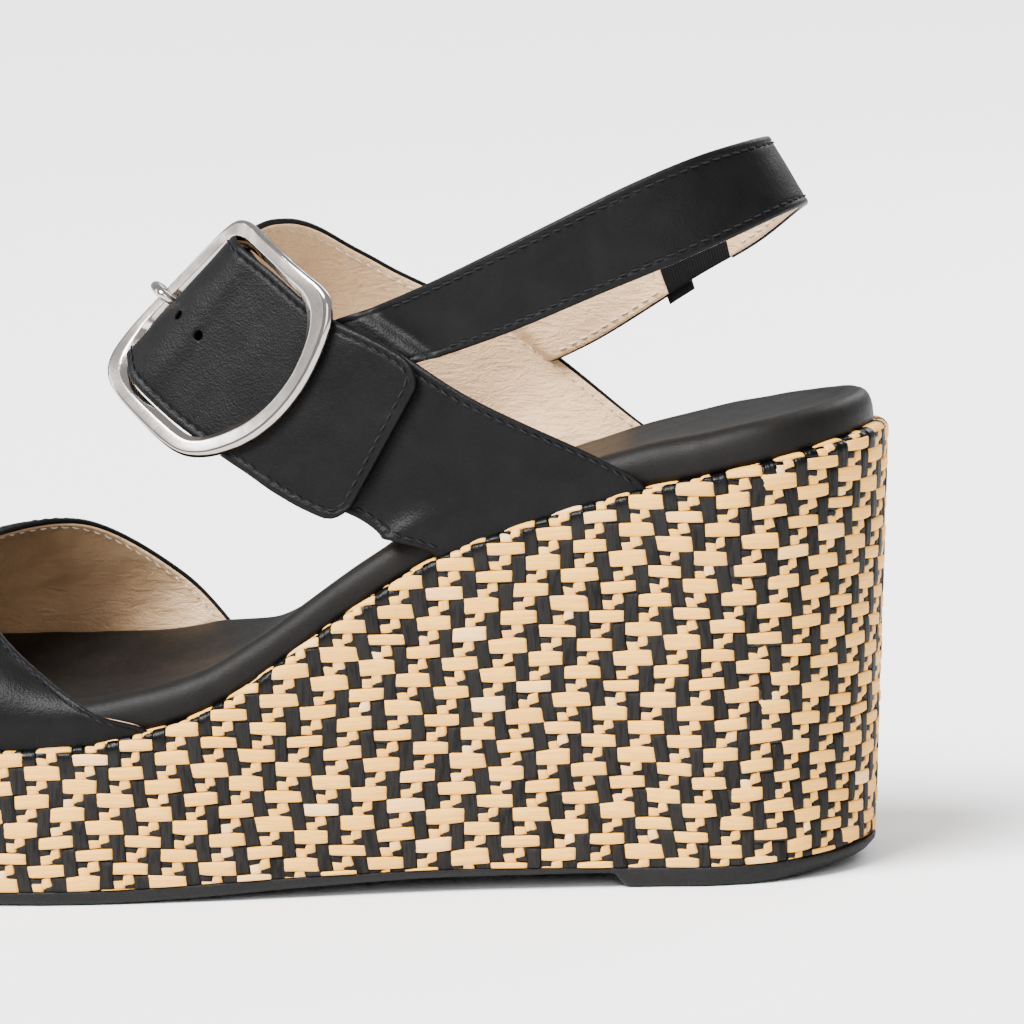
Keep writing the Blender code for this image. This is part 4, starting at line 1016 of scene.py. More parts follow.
# ---------------------------------------------------------------- vamp
VAMP_F, VAMP_R = (-128, -131), (-67.5, -61)
up = (0, 0, 1)
vamp_rows = [
    rim_row(VAMP_F[0], VAMP_R[0], -1, -TUCK),
    rim_row(VAMP_F[0], VAMP_R[0], -1, 0.8),
    rim_row(VAMP_F[0] - 2, VAMP_R[0] - 11.5, -1, 6.8, STRAP_IN - 0.4),
    free_row((-134, -30.0, 46.5), (-91.0, -33.0, 45.0), 5.0, (0, -1, 0.35)),
    free_row((-140, -20, 53), (-101.5, -24.5, 53.0), 3.5, (0, -0.6, 0.8)),
    free_row((-145.5, -6, 57), (-110.5, -9, 63.0), 2.0, up),
    free_row((-146.5, 8, 57.5), (-109.0, 7.5, 66.6), 1.5, up),
    free_row((-144, 20, 54.5), (-93.5, 24.0, 66.4), 2.0, (0, 0.5, 0.8)),
    free_row((-138, 30.5, 46), (-76.5, 32.8, 54.2), 4.5, (0, 1, 0.4)),
    rim_row(VAMP_F[1] - 2, VAMP_R[1] - 4.5, 1, 7.6, STRAP_IN - 0.4),
    rim_row(VAMP_F[1], VAMP_R[1], 1, 0.8),
    rim_row(VAMP_F[1], VAMP_R[1], 1, -TUCK),
]
VG = loft(vamp_rows, 12, 33)
v_mid = VG[:, 16]
v_s = np.concatenate([[0], np.cumsum(np.linalg.norm(np.diff(v_mid, axis=0), axis=1))])


def from_foot(G):
    c = np.array([15.0, 0.0, 0.0])
    f = G.copy()
    f = f - np.stack([G[..., 0] + 15.0, 0 * G[..., 0], 35.0 + 0 * G[..., 0]], -1)
    return f


VR = Ribbon(VG, v_s, from_foot)
vs = s_lines(0, v_s[-1], 1.1)
vamp = strap("vamp", VR, vs, 0.45, 1.65, [M_BLACK], m=44, groove=0.16, wav=0.30, seed=21)
vamp_in = strap("vamp_lining", VR, vs, -0.12, 0.62, [M_LINING], m=40, inset=0.45, wav=0.0, under_wav=0.34, seed=22)
mark = np.arange(10.0, v_s[-1] - 9.0, 0.4)
v_st = stitches("vamp_stitches", [edge_line(VR, mark, 1.8, 1.50, 0), edge_line(VR, mark, 1.8, 1.50, 1)], M_THREAD)


def flipped(line):
    return line[0], -line[1]


v_st_in = stitches("vamp_lining_stitches", [flipped(edge_line(VR, mark, 1.8, -0.10, 0)), flipped(edge_line(VR, mark, 1.8, -0.10, 1))],
                   M_THREAD_W, length=1.8, rad=0.15)
for ob, sl, nodes in ((vamp, "black_leather", ("vamp_outer",)), (vamp_in, "beige_lining", ("vamp_lining",)),
                      (v_st, "black_leather", ()), (v_st_in, "beige_lining", ())):
    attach(ob, "sandal")
    if nodes:
        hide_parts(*nodes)

# ---------------------------------------------------------------- instep band
C_AX = np.array([math.cos(LEAN), 0, math.sin(LEAN)])      # across the band, up and back
N_AX = np.array([-math.sin(LEAN), 0, math.cos(LEAN)])     # out of the instep


def arch(c, n, side, y0=1.0, half=BAND_A):
    r = max(0.0, min(1.0, (n - (BAND_TOP - BAND_B)) / BAND_B))
    y = y0 + side * half * math.sqrt(max(0.0, 1 - r * r))
    p = C_AX * c + N_AX * n
    return (p[0], y, p[2])


def band_row(cf, nf, cr, nr, side, half=BAND_A):
    return free_row(arch(cf, nf, side, half=half), arch(cr, nr, side, half=half))


LAT_X, MED_X = (-8.0, 33.0), (-5.0, 30.0)                 # front, rear stations at the sole
band_rows = [
    rim_row(LAT_X[0], LAT_X[1], -1, -TUCK),
    rim_row(LAT_X[0], LAT_X[1], -1, 0.8),
    rim_row(LAT_X[0] - 6.5, LAT_X[1] - 8, -1, 8.0, STRAP_IN - 0.5),
    band_row(36.0, 67.5, 67.5, 71.0, -1, 31.5),
    band_row(29.5, 80.0, 62.0, 90.5, -1, 30.5),
    band_row(22.5, 98.0, 55.4, 105.6, -1),
    band_row(19.8, 112.0, 52.8, 116.6, -1),
    band_row(18.4, 122.5, 51.0, 123.5, -1),
    band_row(18.6, 126.0, 51.2, 126.0, 1),
    band_row(20.8, 120.5, 54.4, 122.0, 1, 29),
    band_row(25.5, 107.0, 60.0, 113.5, 1, 29),
    band_row(31.0, 89.0, 64.8, 99.0, 1, 29),
    band_row(39.0, 67.0, 70.5, 74.0, 1, 29),
    rim_row(MED_X[0] - 6, MED_X[1] - 8, 1, 8.0, STRAP_IN - 0.5),
    rim_row(MED_X[0], MED_X[1], 1, 0.8),
    rim_row(MED_X[0], MED_X[1], 1, -TUCK),
]
mid8 = loft(band_rows, 8, 5)[:, 2]
arc8 = np.concatenate([[0], np.cumsum(np.linalg.norm(np.diff(mid8, axis=0), axis=1))])
ARC0 = arc8[int(np.argmax(mid8 @ N_AX))] - 8.5
BG = loft(band_rows, 24, 17)
BA = ARC0 - np.interp(np.arange(len(BG)) / 3.0, np.arange(len(arc8)), arc8)
BR = Ribbon(BG, BA, from_foot)
A_MAX, A_MIN = BR.s[-1], BR.s[0]
RISE = [(-40, 0.0), (-20, 0.2), (-9, 1.1), (-6.4, 1.5), (-3.5, 3.5), (-1, 5.0), (3, 5.5), (6, 4.9), (10, 3.4),
        (14, 2.5), (18, 2.1), (60, 2.0)]
AT = np.linspace(-115, 95, 1700)
RISE_T = np.array([interp(RISE, a) for a in AT])
A_LONG_END = RIGHT_A + 4.0
A_TIP = RIGHT_A + 22.5


def rise_v(a):
    return np.interp(a, AT, RISE_T)


def band_frame(a):
    P, _ = BR.at(np.array([a]), np.array([0.5]))
    q, _ = BR.at(np.array([a, a, a + 0.8, a - 0.8]), np.array([0.0, 1.0, 0.5, 0.5]))
    c = q[1] - q[0]
    c /= np.linalg.norm(c)
    d = q[2] - q[3]
    n = np.cross(d, c)
    return P[0], c, n / np.linalg.norm(n)


def in_frame(a, b, nn):
    p, c, n = band_frame(a)
    return p + c * b + n * nn


# base strap: from the sole up the outer side, then folded round the bar
EXT_0 = [(-14, 0.0), (-7, 0.0), (-3, 0.0), (0, 0.3), (2, 1.2), (4, 1.75), (12, 1.7), (18, 1.2), (24, 0.7), (30, 0.9),
         (37, 1.8), (44, 2.3), (60, 2.4), (61, 2.4)]
EXT_1 = [(-66, 0.0), (-60, -1.2), (-50, -1.6), (-41, -0.8), (-36, 0.0), (-31, 1.4), (-27, 2.7), (-22, 4.0), (-18, 4.5),
         (-13, 4.1), (-9, 2.6), (-5, 0.9), (-3, 0.4), (2, 0.5), (10, 0.7), (18, 0.8), (24, 0.6), (30, 0.1), (34, 0.0), (61, 0.0)]
EXT_B = [(44, 0.0), (52, 0.0), (56, 0.3), (60, 1.0), (64, 1.8), (68, 2.6), (72, 3.3), (76, 3.8), (80, 3.2), (84, 2.0), (88, 0.9),
         (92, 0.2), (94, 0.0)]


def table(tb, v):
    return np.interp(v, *np.array([(x, interp(tb, x)) for x in np.linspace(tb[0][0], tb[-1][0], 400)]).T)


def fuller(rb, lo, hi):
    nt = rb.G.shape[1]
    t = np.linspace(-1, 1, nt)
    row = rb.G[:, -1] - rb.G[:, 0]
    row /= np.linalg.norm(row, axis=1)[:, None]
    e0 = table(lo, rb.s) if lo else 0 * rb.s
    e1 = table(hi, rb.s) if hi else 0 * rb.s
    push = np.where(t[None] < 0, t[None] * e0[:, None], t[None] * e1[:, None])
    return Ribbon(rb.G + row[:, None] * push[..., None], rb.s, from_foot)


BB = fuller(BR, EXT_B, None)
FOLD_R = BAR_R + 0.5
base_a = [A_MAX, A_MAX - 14, A_MAX - 28, A_MAX - 42, A_MAX - 56, 30, 24, 20]
pp = [(a, LAYER) for a in base_a] + [(17, 0.9), (14, 1.1), (12, 1.5), (10, 2.05), (8, 2.75), (6, 3.5),
                                    (3.2, BAR_N + FOLD_R - 0.03), (0.0, BAR_N + FOLD_R)]
pp += [(-FOLD_R * math.sin(q), BAR_N + FOLD_R * math.cos(q)) for q in [math.radians(v) for v in (30, 60, 90, 120, 150, 180)]]
pp += [(3.0, BAR_N - FOLD_R), (6.0, BAR_N - FOLD_R)]
path = spline(pp, 7)
fold = []
for a, nn in path:
    P, N = BB.at(np.full(17, a), np.linspace(0, 1, 17))
    c = P[-1] - P[0]
    fold.append(P + band_frame(a)[2] * nn)
fold = np.array(fold)
f_s = np.concatenate([[0], np.cumsum(np.linalg.norm(np.diff(fold[:, 8], axis=0), axis=1))])
n_ref = band_frame(40)[2]
FR = Ribbon(fold, f_s, lambda G: np.where((np.arange(len(G)) < 40)[:, None, None], n_ref[None, None], 0.0) * np.ones(G.shape))
base_s = s_lines(0, f_s[-1], 1.0)
base_outer = strap("base_strap", FR, base_s, -0.25, OUTER_T, [M_BLACK], m=22, groove=0.12, wav=0.10, seed=31)
lin_s = s_lines(3.0, A_MAX, 1.2)
base_in = strap("base_strap_lining", BB, lin_s, -0.1, 0.6, [M_LINING], m=22, inset=0.4, under_wav=0.16, seed=32)
b_mark = np.arange(8.0, f_s[-1] - 26.0, 0.4)
base_st = stitches("base_strap_stitches", [edge_line(FR, b_mark, 1.8, OUTER_T - 0.02, 0), edge_line(FR, b_mark, 1.8, OUTER_T - 0.02, 1)], M_THREAD)

# long strap: medial side over the instep, under the left bar, over the centre bar, out under the right bar;
# it fills the window of the buckle nearly from bar to bar, and the end of it spreads a little
LR = fuller(BR, EXT_0, EXT_1)
la = s_lines(A_MIN, A_TIP, 1.4, extra=np.arange(-14, 22, 0.6))


def strap_hole(a, radius):
    me = bpy.data.meshes.new("hole")
    bm = bmesh.new()
    bmesh.ops.create_cone(bm, cap_ends=True, segments=28, radius1=radius * MM, radius2=radius * MM, depth=14 * MM)
    bm.to_mesh(me)
    bm.free()
    ob = bpy.data.objects.new("hole", me)
    bpy.context.scene.collection.objects.link(ob)
    p, c, n = band_frame(a)
    ob.matrix_world = Matrix.Translation(to_m(p + c * -1.9 + n * 4)) @ Vector(n).to_track_quat("Z", "X").to_matrix().to_4x4()
    return ob


def cut_holes(ob, holes):
    for a, radius in holes:
        h = strap_hole(a, radius)
        m = ob.modifiers.new("hole", "BOOLEAN")
        m.operation, m.solver, m.object = "DIFFERENCE", "EXACT", h
        dg = bpy.context.evaluated_depsgraph_get()
        me = bpy.data.meshes.new_from_object(ob.evaluated_get(dg))
        ob.modifiers.clear()
        ob.data = me
        bpy.data.objects.remove(h, do_unlink=True)
    ob.data.polygons.foreach_set("use_smooth", np.full(len(ob.data.polygons), True))


HOLES = [(-3.0, 1.35), (2.8, 1.05), (8.4, 1.05)]
long_outer = strap("long_strap", LR, la, 0.5, STACK + 0.12, [M_BLACK], m=20, tip=(A_TIP, 5.0), lift=rise_v, groove=0.14,
                   wav=0.14, seed=41, end_groove=False)
la_in = s_lines(A_MIN, A_TIP - 1.3, 1.4, extra=np.arange(-14, 22, 0.6))
long_in = strap("long_strap_lining", LR, la_in, -0.1, 0.62, [M_LINING], m=18, inset=0.6, tip=(A_TIP - 1.3, 5.0), lift=rise_v,
                under_wav=0.16, seed=42)
cut_holes(long_outer, HOLES)
cut_holes(long_in, [(a, r + (1.4 if a < 0 else 0.75)) for a, r in HOLES])
TIP_S = 1.75


def tip_line(height):
    """Stitch line that runs along both edges of the free end and round its corners."""
    a1 = np.arange(A_LONG_END - 1.0, A_TIP - 6.5, 0.4)
    out_p, out_n = [], []
    W = float(LR.width(A_TIP - 3))
    rc = 3.4
    corner = [math.radians(v) for v in range(0, 91, 8)]
    left = [(a, TIP_S) for a in a1] + [(A_TIP - TIP_S - rc + rc * math.sin(q), TIP_S + rc - rc * math.cos(q)) for q in corner]
    right = [(a, w) for a, w in left][::-1]
    pts = left + [(A_TIP - TIP_S, w) for w in np.arange(TIP_S + rc + 0.5, W - TIP_S - rc, 0.5)]
    P1 = [(a, w, 0) for a, w in pts] + [(a, w, 1) for a, w in right]
    for a, w, sd in P1:
        Wa = float(LR.width(a))
        t = w / Wa if not sd else 1 - w / Wa
        p, n = LR.at(np.array([a]), np.array([t]))
        out_p.append(p[0] + n[0] * (height + float(rise_v(a))))
        out_n.append(n[0])
    return np.array(out_p), np.array(out_n)


H_ST = STACK + 0.02
m1 = np.arange(A_MIN + 9, -9.5, 0.4)
m2 = np.arange(-6.5, A_LONG_END - 2.0, 0.4)
long_st = stitches("long_strap_stitches", [edge_line(LR, q, 1.8, H_ST, sd, rise_v) for q in (m1, m2) for sd in (0, 1)], M_THREAD)
tip_st = stitches("strap_end_stitches", [tip_line(H_ST)], M_THREAD)
long_st_in = stitches("band_lining_stitches", [flipped(edge_line(LR, q, 1.9, -0.08, sd, rise_v)) for q in (m1,) for sd in (0, 1)],
                      M_THREAD_W, length=1.8, rad=0.15)
lat_in = stitches("base_lining_stitches", [flipped(edge_line(BB, np.arange(6, A_MAX - 9, 0.4), 1.9, -0.08, sd)) for sd in (0, 1)],
                  M_THREAD_W, length=1.8, rad=0.15)
for ob, sl, nodes in ((base_outer, "black_leather", ("base_strap_outer",)), (base_in, "beige_lining", ("base_strap_lining",)),
                      (base_st, "black_leather", ()), (long_st, "black_leather", ()), (long_st_in, "beige_lining", ()),
                      (lat_in, "beige_lining", ())):
    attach(ob, "sandal")
    if nodes:
        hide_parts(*nodes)


def split(ob, name):
    """Cut a strap in two under the left bar of the buckle; the far part becomes an object of its own."""
    p = band_frame(-5.0)[0]
    d = np.array([0.05, -0.97, -0.24])       # leaves all of the inner side behind
    far = bpy.data.objects.new(name, ob.data.copy())
    far.data.name = name
    bpy.context.scene.collection.objects.link(far)
    for o_, keep in ((ob, 1), (far, -1)):
        bm = bmesh.new()
        bm.from_mesh(o_.data)
        bmesh.ops.bisect_plane(bm, geom=bm.verts[:] + bm.edges[:] + bm.faces[:], dist=1e-7, plane_co=to_m(p), plane_no=Vector(d),
                               clear_inner=keep > 0, clear_outer=keep < 0)
        bmesh.ops.holes_fill(bm, edges=[e for e in bm.edges if e.is_boundary])
        bm.to_mesh(o_.data)
        bm.free()
        o_.data.polygons.foreach_set("use_smooth", np.full(len(o_.data.polygons), True))
        o_.data.update()
    return far


far_outer = split(long_outer, "instep_strap")
far_in = split(long_in, "instep_strap_lining")
for ob, sl in ((far_outer, "black_leather"), (far_in, "beige_lining")):
    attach(ob, "sandal")
bs = to_m(in_frame(A_LONG_END - 4.5, 0, 2.9))
be = to_m(in_frame(A_LONG_END + 6.5, 0, 2.9))
for ob, sl, nodes in ((long_outer, "black_leather", ("long_strap_outer", "strap_tip_outer")),
                      (long_in, "beige_lining", ("long_strap_lining", "strap_tip_lining")), (tip_st, "black_leather", ())):
    co = np.array([v.co for v in ob.data.vertices])
    d = np.array(be - bs)
    t = (co - np.array(bs)) @ d / (d @ d)
    low = co[:, 1] > -0.015
    print("BLEND", ob.name, "largest share of the far side:", round(float(t[low].max()) if low.any() else -9, 3))
    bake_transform(ob)
    if nodes:
        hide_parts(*nodes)

# ---------------------------------------------------------------- buckle
FRAME_N = [(-12, 5.9), (-8, 5.8), (0, 4.4), (10, 4.2), (22, 4.9), (30, 5.6), (36, 5.7)]
FRAME_B, FRAME_B0 = 20.6, -1.9
FRAME_C, FRAME_HALF = 0.5 * (LEFT_A + RIGHT_A), 0.5 * (RIGHT_A - LEFT_A)
NB = 200


# the frame is one stiff plate, so its section stays in the plane of its two end bars
OUTER_AB = [(-6.8, -8), (-7.0, 4), (-6.7, 12), (-5.7, 16.8), (-3.2, 20.0), (1.0, 21.5), (8, 21.9), (16, 22.2),
            (21.5, 22.4), (25.8, 22.2), (29.4, 20.8), (32.2, 16.9), (33.6, 10.5), (33.8, 3.0), (32.4, -4.8),
            (29.7, -11.4), (26.1, -16.6), (22.4, -20.2), (18.8, -22.2), (14.2, -22.9), (7.5, -22.9), (1.6, -22.7),
            (-2.0, -21.7), (-4.5, -18.8), (-6.1, -14.0)]
INNER_AB = [(-2.9, -8), (-3.0, 4), (-2.6, 11.5), (-1.2, 15.3), (3, 17.2), (8.8, 17.9), (16, 18.1), (21.8, 17.9),
            (25, 16.4), (27.2, 13.8), (28.7, 9.6), (29.1, 3.6), (27.9, -2.6), (25.4, -8.6), (21.8, -14.2),
            (19.6, -16.8), (17, -18.2), (10, -18.6), (4.4, -18.7), (1.7, -18.0), (-0.1, -16), (-1.9, -12)]
RING_N = [(-9, 6.6), (-5, 6.5), (0, 5.6), (10, 4.7), (22, 4.9), (30, 5.3), (36, 5.5)]
outer = spline(OUTER_AB, 40, True)
inner = spline(INNER_AB, 40, True)


def even(q, n):
    return resample(np.vstack([q, q[:1]]), n + 1)[:n]


outer = even(outer, NB)
# the inner edge is met along a ray from the middle of the window
ctr = np.array([FRAME_C, FRAME_B0])
ai = np.arctan2(inner[:, 1] - ctr[1], inner[:, 0] - ctr[0]) % (2 * math.pi)
ri = np.linalg.norm(inner - ctr, axis=1)
ao = np.arctan2(outer[:, 1] - ctr[1], outer[:, 0] - ctr[0]) % (2 * math.pi)
o_i = np.argsort(ai)
inn_r = np.interp(ao, ai[o_i], ri[o_i], period=2 * math.pi)
inn = ctr + np.stack([np.cos(ao), np.sin(ao)], 1) * inn_r[:, None]
e_a = in_frame(32.5, 0, 5.4) - in_frame(-6.0, 0, 6.5)
e_a /= np.linalg.norm(e_a)
e_b = band_frame(12.0)[1]
e_b = e_b - e_a * (e_a @ e_b)
e_b /= np.linalg.norm(e_b)
e_n = np.cross(e_a, e_b)
if e_n @ band_frame(12.0)[2] < 0:
    e_n = -e_n
# section: k runs from the inner foot over the top to the outer foot; f = place between inner (0) and outer (1)
SEC = [(0.10, -0.75), (0.03, -0.50), (0.0, -0.10), (0.02, 0.10), (0.07, 0.26), (0.27, 0.98), (0.31, 1.08), (0.37, 1.12), (0.60, 1.13),
       (0.80, 1.12), (0.865, 1.06), (0.93, 0.82), (0.985, 0.35), (1.0, -0.1), (0.985, -0.65), (0.90, -1.02), (0.72, -1.15), (0.35, -1.0)]
POL = [1, 1, 1, 1, 1, 1, 0, 0, 0, 1, 1, 1, 1, 1, 1, 1, 1, 1]
verts = []
for (oa, ob_), (ia, ib) in zip(outer, inn):
    co = in_frame(oa, ob_, interp(RING_N, oa))
    ci = co + e_a * (ia - oa) + e_b * (ib - ob_)
    for f, hgt in SEC:
        verts.append(ci * (1 - f) + co * f + e_n * hgt)
K = len(SEC)
F = [tuple(q) for q in quads(NB, K, 0, wrap_s=True, wrap_t=True)]
mi = [POL[i % K] for i in range(len(F))]
buckle = build("buckle", np.array(verts), F, [M_SATIN, M_POLISH], mat_index=mi)
outward(buckle)
sub = buckle.modifiers.new("smooth", "SUBSURF")
sub.levels = sub.render_levels = 1


def rod(name, pts, radii, nrm, mats, sides=18, flat=1.0):
    C = np.asarray(pts, float)
    T = np.gradient(C, axis=0)
    T /= np.linalg.norm(T, axis=1)[:, None]
    A = np.cross(T, np.asarray(nrm, float))
    A /= np.linalg.norm(A, axis=1)[:, None]
    B = np.cross(A, T)
    ang = np.linspace(0, 2 * math.pi, sides, endpoint=False)
    prof = np.stack([np.cos(ang), np.sin(ang) * flat], 1)
    prof = prof[None] * np.asarray(radii, float)[:, None, None]
    return outward(sweep(name, C, T, A, B, prof, mats, cyclic=False))


bn = band_frame(0)[2]
bl, bh = -20.6, 19.8
bar_pts = [in_frame(0, b, BAR_N + h) for b, h in [(bl - 0.2, 2.4), (bl + 0.4, 1.4), (bl + 1.5, 0.3)] +
           [(b, 0) for b in np.linspace(bl + 3, bh - 3, 12)] + [(bh - 1.5, 0.3), (bh - 0.4, 1.4), (bh + 0.2, 2.4)]]
bar = rod("buckle_bar", bar_pts, [0.95, 0.9] + [0.8] * 14 + [0.9, 0.95], [bn] * len(bar_pts), [M_POLISH])
PR = 0.75
EYE = BAR_R + 0.25 + PR
pr = [(EYE * math.sin(q), BAR_N + EYE * math.cos(q)) for q in [math.radians(v) for v in (70, 100, 130, 160, 190, 220, 250, 280, 305)]]
pr += [(-2.2, BAR_N + 2.6), (-2.6, 7.2), (-3.2, 8.45), (-5.0, 9.0), (-6.9, 8.75), (-8.4, 7.6), (-8.9, 6.3)]
pr = spline(pr, 6)
pts = [in_frame(a, FRAME_B0 - 0.36 * min(7.0, max(0.0, -2.0 - a)) * (nn > BAR_N + 2.2), nn) for a, nn in pr]
u = np.linspace(0, 1, len(pts))
rad = 0.75 + 0.3 * np.clip((u - 0.55) / 0.2, 0, 1)
rad[-6:] *= np.array([0.99, 0.96, 0.88, 0.74, 0.52, 0.16])
rad[:2] *= np.array([0.4, 0.85])
side_ax = band_frame(-4)[1]
prong = rod("prong", pts, rad, [np.cross(side_ax, t) for t in np.gradient(np.array(pts), axis=0)], [M_POLISH], sides=22)
for ob in (buckle, bar):
    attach(ob, "sandal")
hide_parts("buckle_frame")
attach(prong, "prong")
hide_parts("buckle_prong")

# ---------------------------------------------------------------- slingback
sling_pts = [
    ((-31, -19.6, 111.7), (-16.8, -23.6, 102.4)),
    ((-23, -22.4, 115), (-8.6, -26.2, 105.4)),
    ((-5.5, -25.6, 122.2), (9, -27.5, 111.4)),
    ((14.5, -27.2, 131.2), (26, -27.2, 118)),
    ((31.5, -24.6, 138.8), (38, -25, 122.4)),
    ((43.5, -18.5, 143.2), (49, -19.5, 126.6)),
    ((51.2, -9.5, 144.8), (58, -10.5, 130.1)),
    ((53.6, 0, 144.6), (61.2, 0, 130.8)),
    ((51.2, 9.5, 143.2), (58, 10.5, 128.6)),
    ((44.5, 18.5, 138.4), (48, 19.0, 121.6)),
    ((30.5, 24, 131), (34.5, 24, 114.2)),
    ((6, 25.5, 117), (15, 26, 102.8)),
    ((-10, 24.2, 109), (1.5, 26.0, 96.5)),
    ((-18, 20.8, 105.2), (-5.8, 23.8, 92.9)),
]


def under_band(p, side):
    """Move a heel strap point to just inside the band."""
    n = float(np.dot(N_AX, p))
    r = min(0.99, max(0.0, (n - (BAND_TOP - BAND_B)) / BAND_B))
    half = BAND_A if side < 0 else 29.0
    y = 1.0 + side * half * math.sqrt(1 - r * r)
    tilt = (half / BAND_B) * r / math.sqrt(1 - r * r)
    return (p[0], y - side * (STACK + GAP + 0.35) * math.sqrt(1 + tilt * tilt), p[2])


for k in (0, 1):
    sling_pts[k] = tuple(under_band(q, -1) for q in sling_pts[k])
for k in (-1, -2):
    sling_pts[k] = tuple(under_band(q, 1) for q in sling_pts[k])
s4 = loft([free_row(u, l) for u, l in sling_pts], 4, 3)
sa4 = np.concatenate([[0], np.cumsum(np.linalg.norm(np.diff(s4[:, 1], axis=0), axis=1))])
SGR = loft([free_row(u, l) for u, l in sling_pts], 16, 11)
SA = np.interp(np.arange(len(SGR)) / 4.0, np.arange(len(sa4)), sa4)
S_END = sa4[-1]
S_LEATHER = float(np.interp(9.44 * 4, np.arange(len(sa4)), sa4))
S_TAB = float(np.interp(10.28 * 4, np.arange(len(sa4)), sa4))


def from_heel(G):
    return G - np.stack([10.0 + 0 * G[..., 0], 0 * G[..., 0], G[..., 2]], -1)


SR = Ribbon(SGR, SA, from_heel)


def bend_crease(P):
    return P


SINK_0, SINK_1 = 11.0, 13.0      # lengths of the two ends that lie inside the band


def sink(s):
    """How far an end of the heel strap is let into the band, between its two layers."""
    a = np.clip((SINK_0 - s) / 4.0, 0, 1)
    b = np.clip((s - (S_END - SINK_1)) / 4.0, 0, 1)
    f = np.maximum(a, b)
    return f * f * (3 - 2 * f)


def let_in(s):
    return 2.75 * sink(s)


def thin(v, s):
    return (v * (1 - 0.55 * sink(np.asarray(s))))[:, None]


sl_s = s_lines(0, S_LEATHER, 1.0)
sling = strap("slingback", SR, sl_s, thin(0.45, sl_s), thin(STACK + 0.1, sl_s), lift=let_in, mats= [M_BLACK], m=16, groove=0.16, wav=0.16, seed=51, end_groove=True)
sling_in = strap("slingback_lining", SR, sl_s, -0.08, thin(0.6, sl_s), lift=let_in, mats= [M_LINING], m=14, inset=0.45, under_wav=0.12, seed=52)
tab_s = s_lines(S_TAB, S_END, 1.0)
tab = strap("medial_tab", SR, tab_s, thin(0.45, tab_s), thin(STACK + 0.1, tab_s), lift=let_in, mats= [M_BLACK], m=16, groove=0.14, wav=0.1, seed=53, end_groove=True)
tab_in = strap("medial_tab_lining", SR, tab_s, -0.08, thin(0.6, tab_s), lift=let_in, mats= [M_LINING], m=14, inset=0.45, under_wav=0.12, seed=54)
# gore: ribs run across the elastic
g_s = np.arange(S_LEATHER - 1.2, S_TAB + 1.2, 0.09)
Wg = SR.width(g_s)
gp = row_pos(Wg - 0.6, 10, np.array([0, .06, .2, .5]))
Sg = np.repeat(g_s[:, None], gp.shape[1], 1)
P, N = SR.at(Sg, (gp + 0.3) / Wg[:, None])
dg_ = np.minimum(gp, (Wg - 0.6)[:, None] - gp)
rib = 0.5 + 0.5 * np.cos(2 * math.pi * Sg / 0.65)
gore = shell("gore", P, N, np.minimum(dg_, np.minimum(Sg - Sg[0, 0], Sg[-1, 0] - Sg)), 0.25, 1.15, [M_GORE],
             np.stack([Sg, gp], -1), r=0.4, extra=0.20 * (rib - 0.5), under=-0.20 * (rib - 0.5))
# raw end of the elastic folded back under the tab's front edge, standing out below it
f_a = np.arange(S_TAB - 5.6, S_TAB + 1.4, 0.1)
Wf = SR.width(f_a)
ff = row_pos(np.full(len(f_a), 4.4), 6, np.array([0, .08, .25, .6]))
Sf = np.repeat(f_a[:, None], ff.shape[1], 1)
tt = 1 - (ff - 1.6) / Wf[:, None]
Pq, Nq = SR.at(Sf, np.clip(tt, 0, 1))
P1, _ = SR.at(Sf, np.clip(tt * 0 + 1, 0, 1))
P0, _ = SR.at(Sf, np.clip(tt * 0 + 0.9, 0, 1))
down = P1 - P0
down /= np.linalg.norm(down, axis=-1)[..., None]
over = np.maximum(0, 1.6 - ff)
Pq = Pq + down * over[..., None]
dd = np.minimum(np.minimum(ff, 4.4 - ff), np.minimum(Sf - Sf[0, 0], Sf[-1, 0] - Sf))
gfold = shell("gore_fold", Pq, Nq, dd, 1.1, 2.5, [M_GORE], np.stack([Sf, ff], -1), r=0.7,
              extra=0.12 * np.cos(2 * math.pi * Sf / 0.65))
q1 = np.arange(14.0, S_LEATHER - 1.6, 0.4)
q2 = np.arange(S_TAB + 1.9, S_END - SINK_1 - 0.5, 0.4)
sl_lines = [edge_line(SR, q, 1.8, STACK - 0.03, sd) for q in (q1, q2) for sd in (0, 1)]


def cross_line(s, height, w0=2.6, w1=None):
    W = float(SR.width(s))
    w = np.arange(w0, W - w0, 0.3)
    P, N = SR.at(np.full(len(w), s), w / W)
    return P + N * height, N


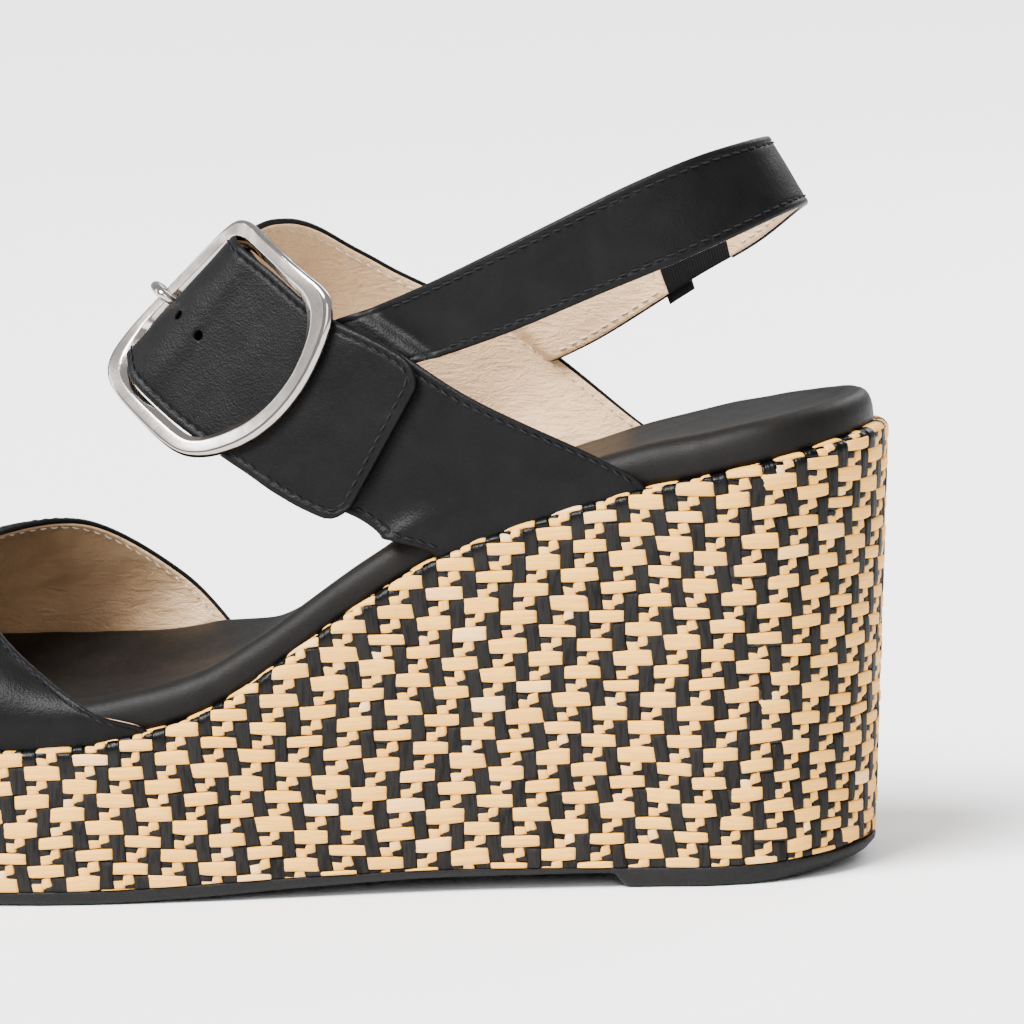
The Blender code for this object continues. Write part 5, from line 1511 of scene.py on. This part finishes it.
sl_lines += [cross_line(S_LEATHER - 1.8, STACK + 0.08), cross_line(S_TAB + 1.8, STACK + 0.08)]
sl_st = stitches("slingback_stitches", sl_lines, M_THREAD)
in_lines = [flipped(edge_line(SR, q, 1.9, -0.06, sd)) for q in (q1, q2) for sd in (0, 1)]
in_lines += [flipped(cross_line(S_LEATHER - 1.8, -0.06)), flipped(cross_line(S_TAB + 1.8, -0.06))]
sl_st_in = stitches("slingback_lining_stitches", in_lines, M_THREAD_W, length=1.8, rad=0.16)
for ob, sl, nodes in ((sling, "black_leather", ("slingback_outer",)), (sling_in, "beige_lining", ("slingback_lining",)),
                      (tab, "black_leather", ("medial_tab_outer",)), (tab_in, "beige_lining", ("medial_tab_lining",)),
                      (gore, "ribbed_elastic", ("elastic_gore",)), (gfold, "ribbed_elastic", ()),
                      (sl_st, "black_leather", ()), (sl_st_in, "beige_lining", ())):
    if ob in (sling, sling_in, tab, tab_in):
        # these leather and lining pieces are baked into place and not attached to a body; how far the rest of the strap
        # lies along the sewn end is printed
        ends = (1.5, 13.0) if ob in (sling, sling_in) else (S_END - 2.0, S_END - 13.5)
        q0, q1_ = SR.at(np.array(ends), np.array([0.5, 0.5]))[0]
        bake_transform(ob)
        co = np.array([v.co for v in ob.data.vertices]) * 1000
        t_ = (co - q0) @ (q1_ - q0) / ((q1_ - q0) @ (q1_ - q0))
        away = np.linalg.norm(co - q0, axis=1) > 24
        print("BLEND", ob.name, "smallest share away from the end:", round(float(t_[away].min()), 3) if away.any() else "none")
    else:
        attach(ob, "heel_strap")
    if nodes:
        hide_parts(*nodes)

# ---------------------------------------------------------------- stage, light, camera
bpy.ops.mesh.primitive_plane_add(size=16, location=(0, 2, 0))
floor = bpy.context.object
floor.name = "floor"
kf = Nodes("pale_floor", 0.7)
kf.color(kf.mix(kf.noise(kf.obj(0.02), 1.0, 4, 0.5), (0.93, 0.93, 0.935), (0.96, 0.96, 0.96)))
kf.bump([(kf.noise(kf.obj(0.5), 1.0, 3, 0.5), 0.01)])
floor.data.materials.append(kf.m)

world = bpy.data.worlds.new("studio")
bpy.context.scene.world = world
world.use_nodes = True
world.node_tree.nodes["Background"].inputs[0].default_value = (0.97, 0.98, 1.0, 1)
world.node_tree.nodes["Background"].inputs[1].default_value = WORLD


def softbox(name, loc, target, size, power, color=(1, 1, 1), size_y=None):
    la_ = bpy.data.lights.new(name, "AREA")
    la_.energy = power
    la_.size = size
    la_.color = color
    if size_y:
        la_.shape = "RECTANGLE"
        la_.size_y = size_y
    o_ = bpy.data.objects.new(name, la_)
    bpy.context.scene.collection.objects.link(o_)
    o_.location = loc
    o_.rotation_euler = (Vector(target) - Vector(loc)).to_track_quat("-Z", "Y").to_euler()
    return o_


C0 = (0.02, 0, 0.06)
softbox("key", (-0.9, -0.8, 1.25), C0, 0.5, KEY)
softbox("front", (0.45, -1.6, 0.75), C0, 0.8, FRONT)
softbox("back", (0.55, 1.2, 0.9), C0, 0.7, BACK)
softbox("left", (-1.3, 0.2, 0.45), C0, 0.35, LEFT, size_y=0.9)
sun_d = bpy.data.lights.new("sun", "SUN")
sun_d.energy = SUN
sun_d.angle = math.radians(35)
sun = bpy.data.objects.new("sun", sun_d)
bpy.context.scene.collection.objects.link(sun)
sun.rotation_euler = Vector((0.45, 0.62, -1.15)).to_track_quat("-Z", "Y").to_euler()

AZ, EL, ROLLD, DIST = math.radians(12), math.radians(8), math.radians(2.8), 1.6
fwd = Vector((-math.sin(AZ) * math.cos(EL), math.cos(AZ) * math.cos(EL), -math.sin(EL)))
tgt = Vector((0.0426, 0.0007, 0.07128))
cam_data = bpy.data.cameras.new("camera")
cam_data.sensor_width = 36
cam_data.lens = 281.25
cam = bpy.data.objects.new("camera", cam_data)
bpy.context.scene.collection.objects.link(cam)
cam.location = tgt - fwd * DIST
cam.rotation_mode = "QUATERNION"
cam.rotation_quaternion = fwd.to_track_quat("-Z", "Y") @ Quaternion((0, 0, 1), -ROLLD)
bpy.context.scene.camera = cam
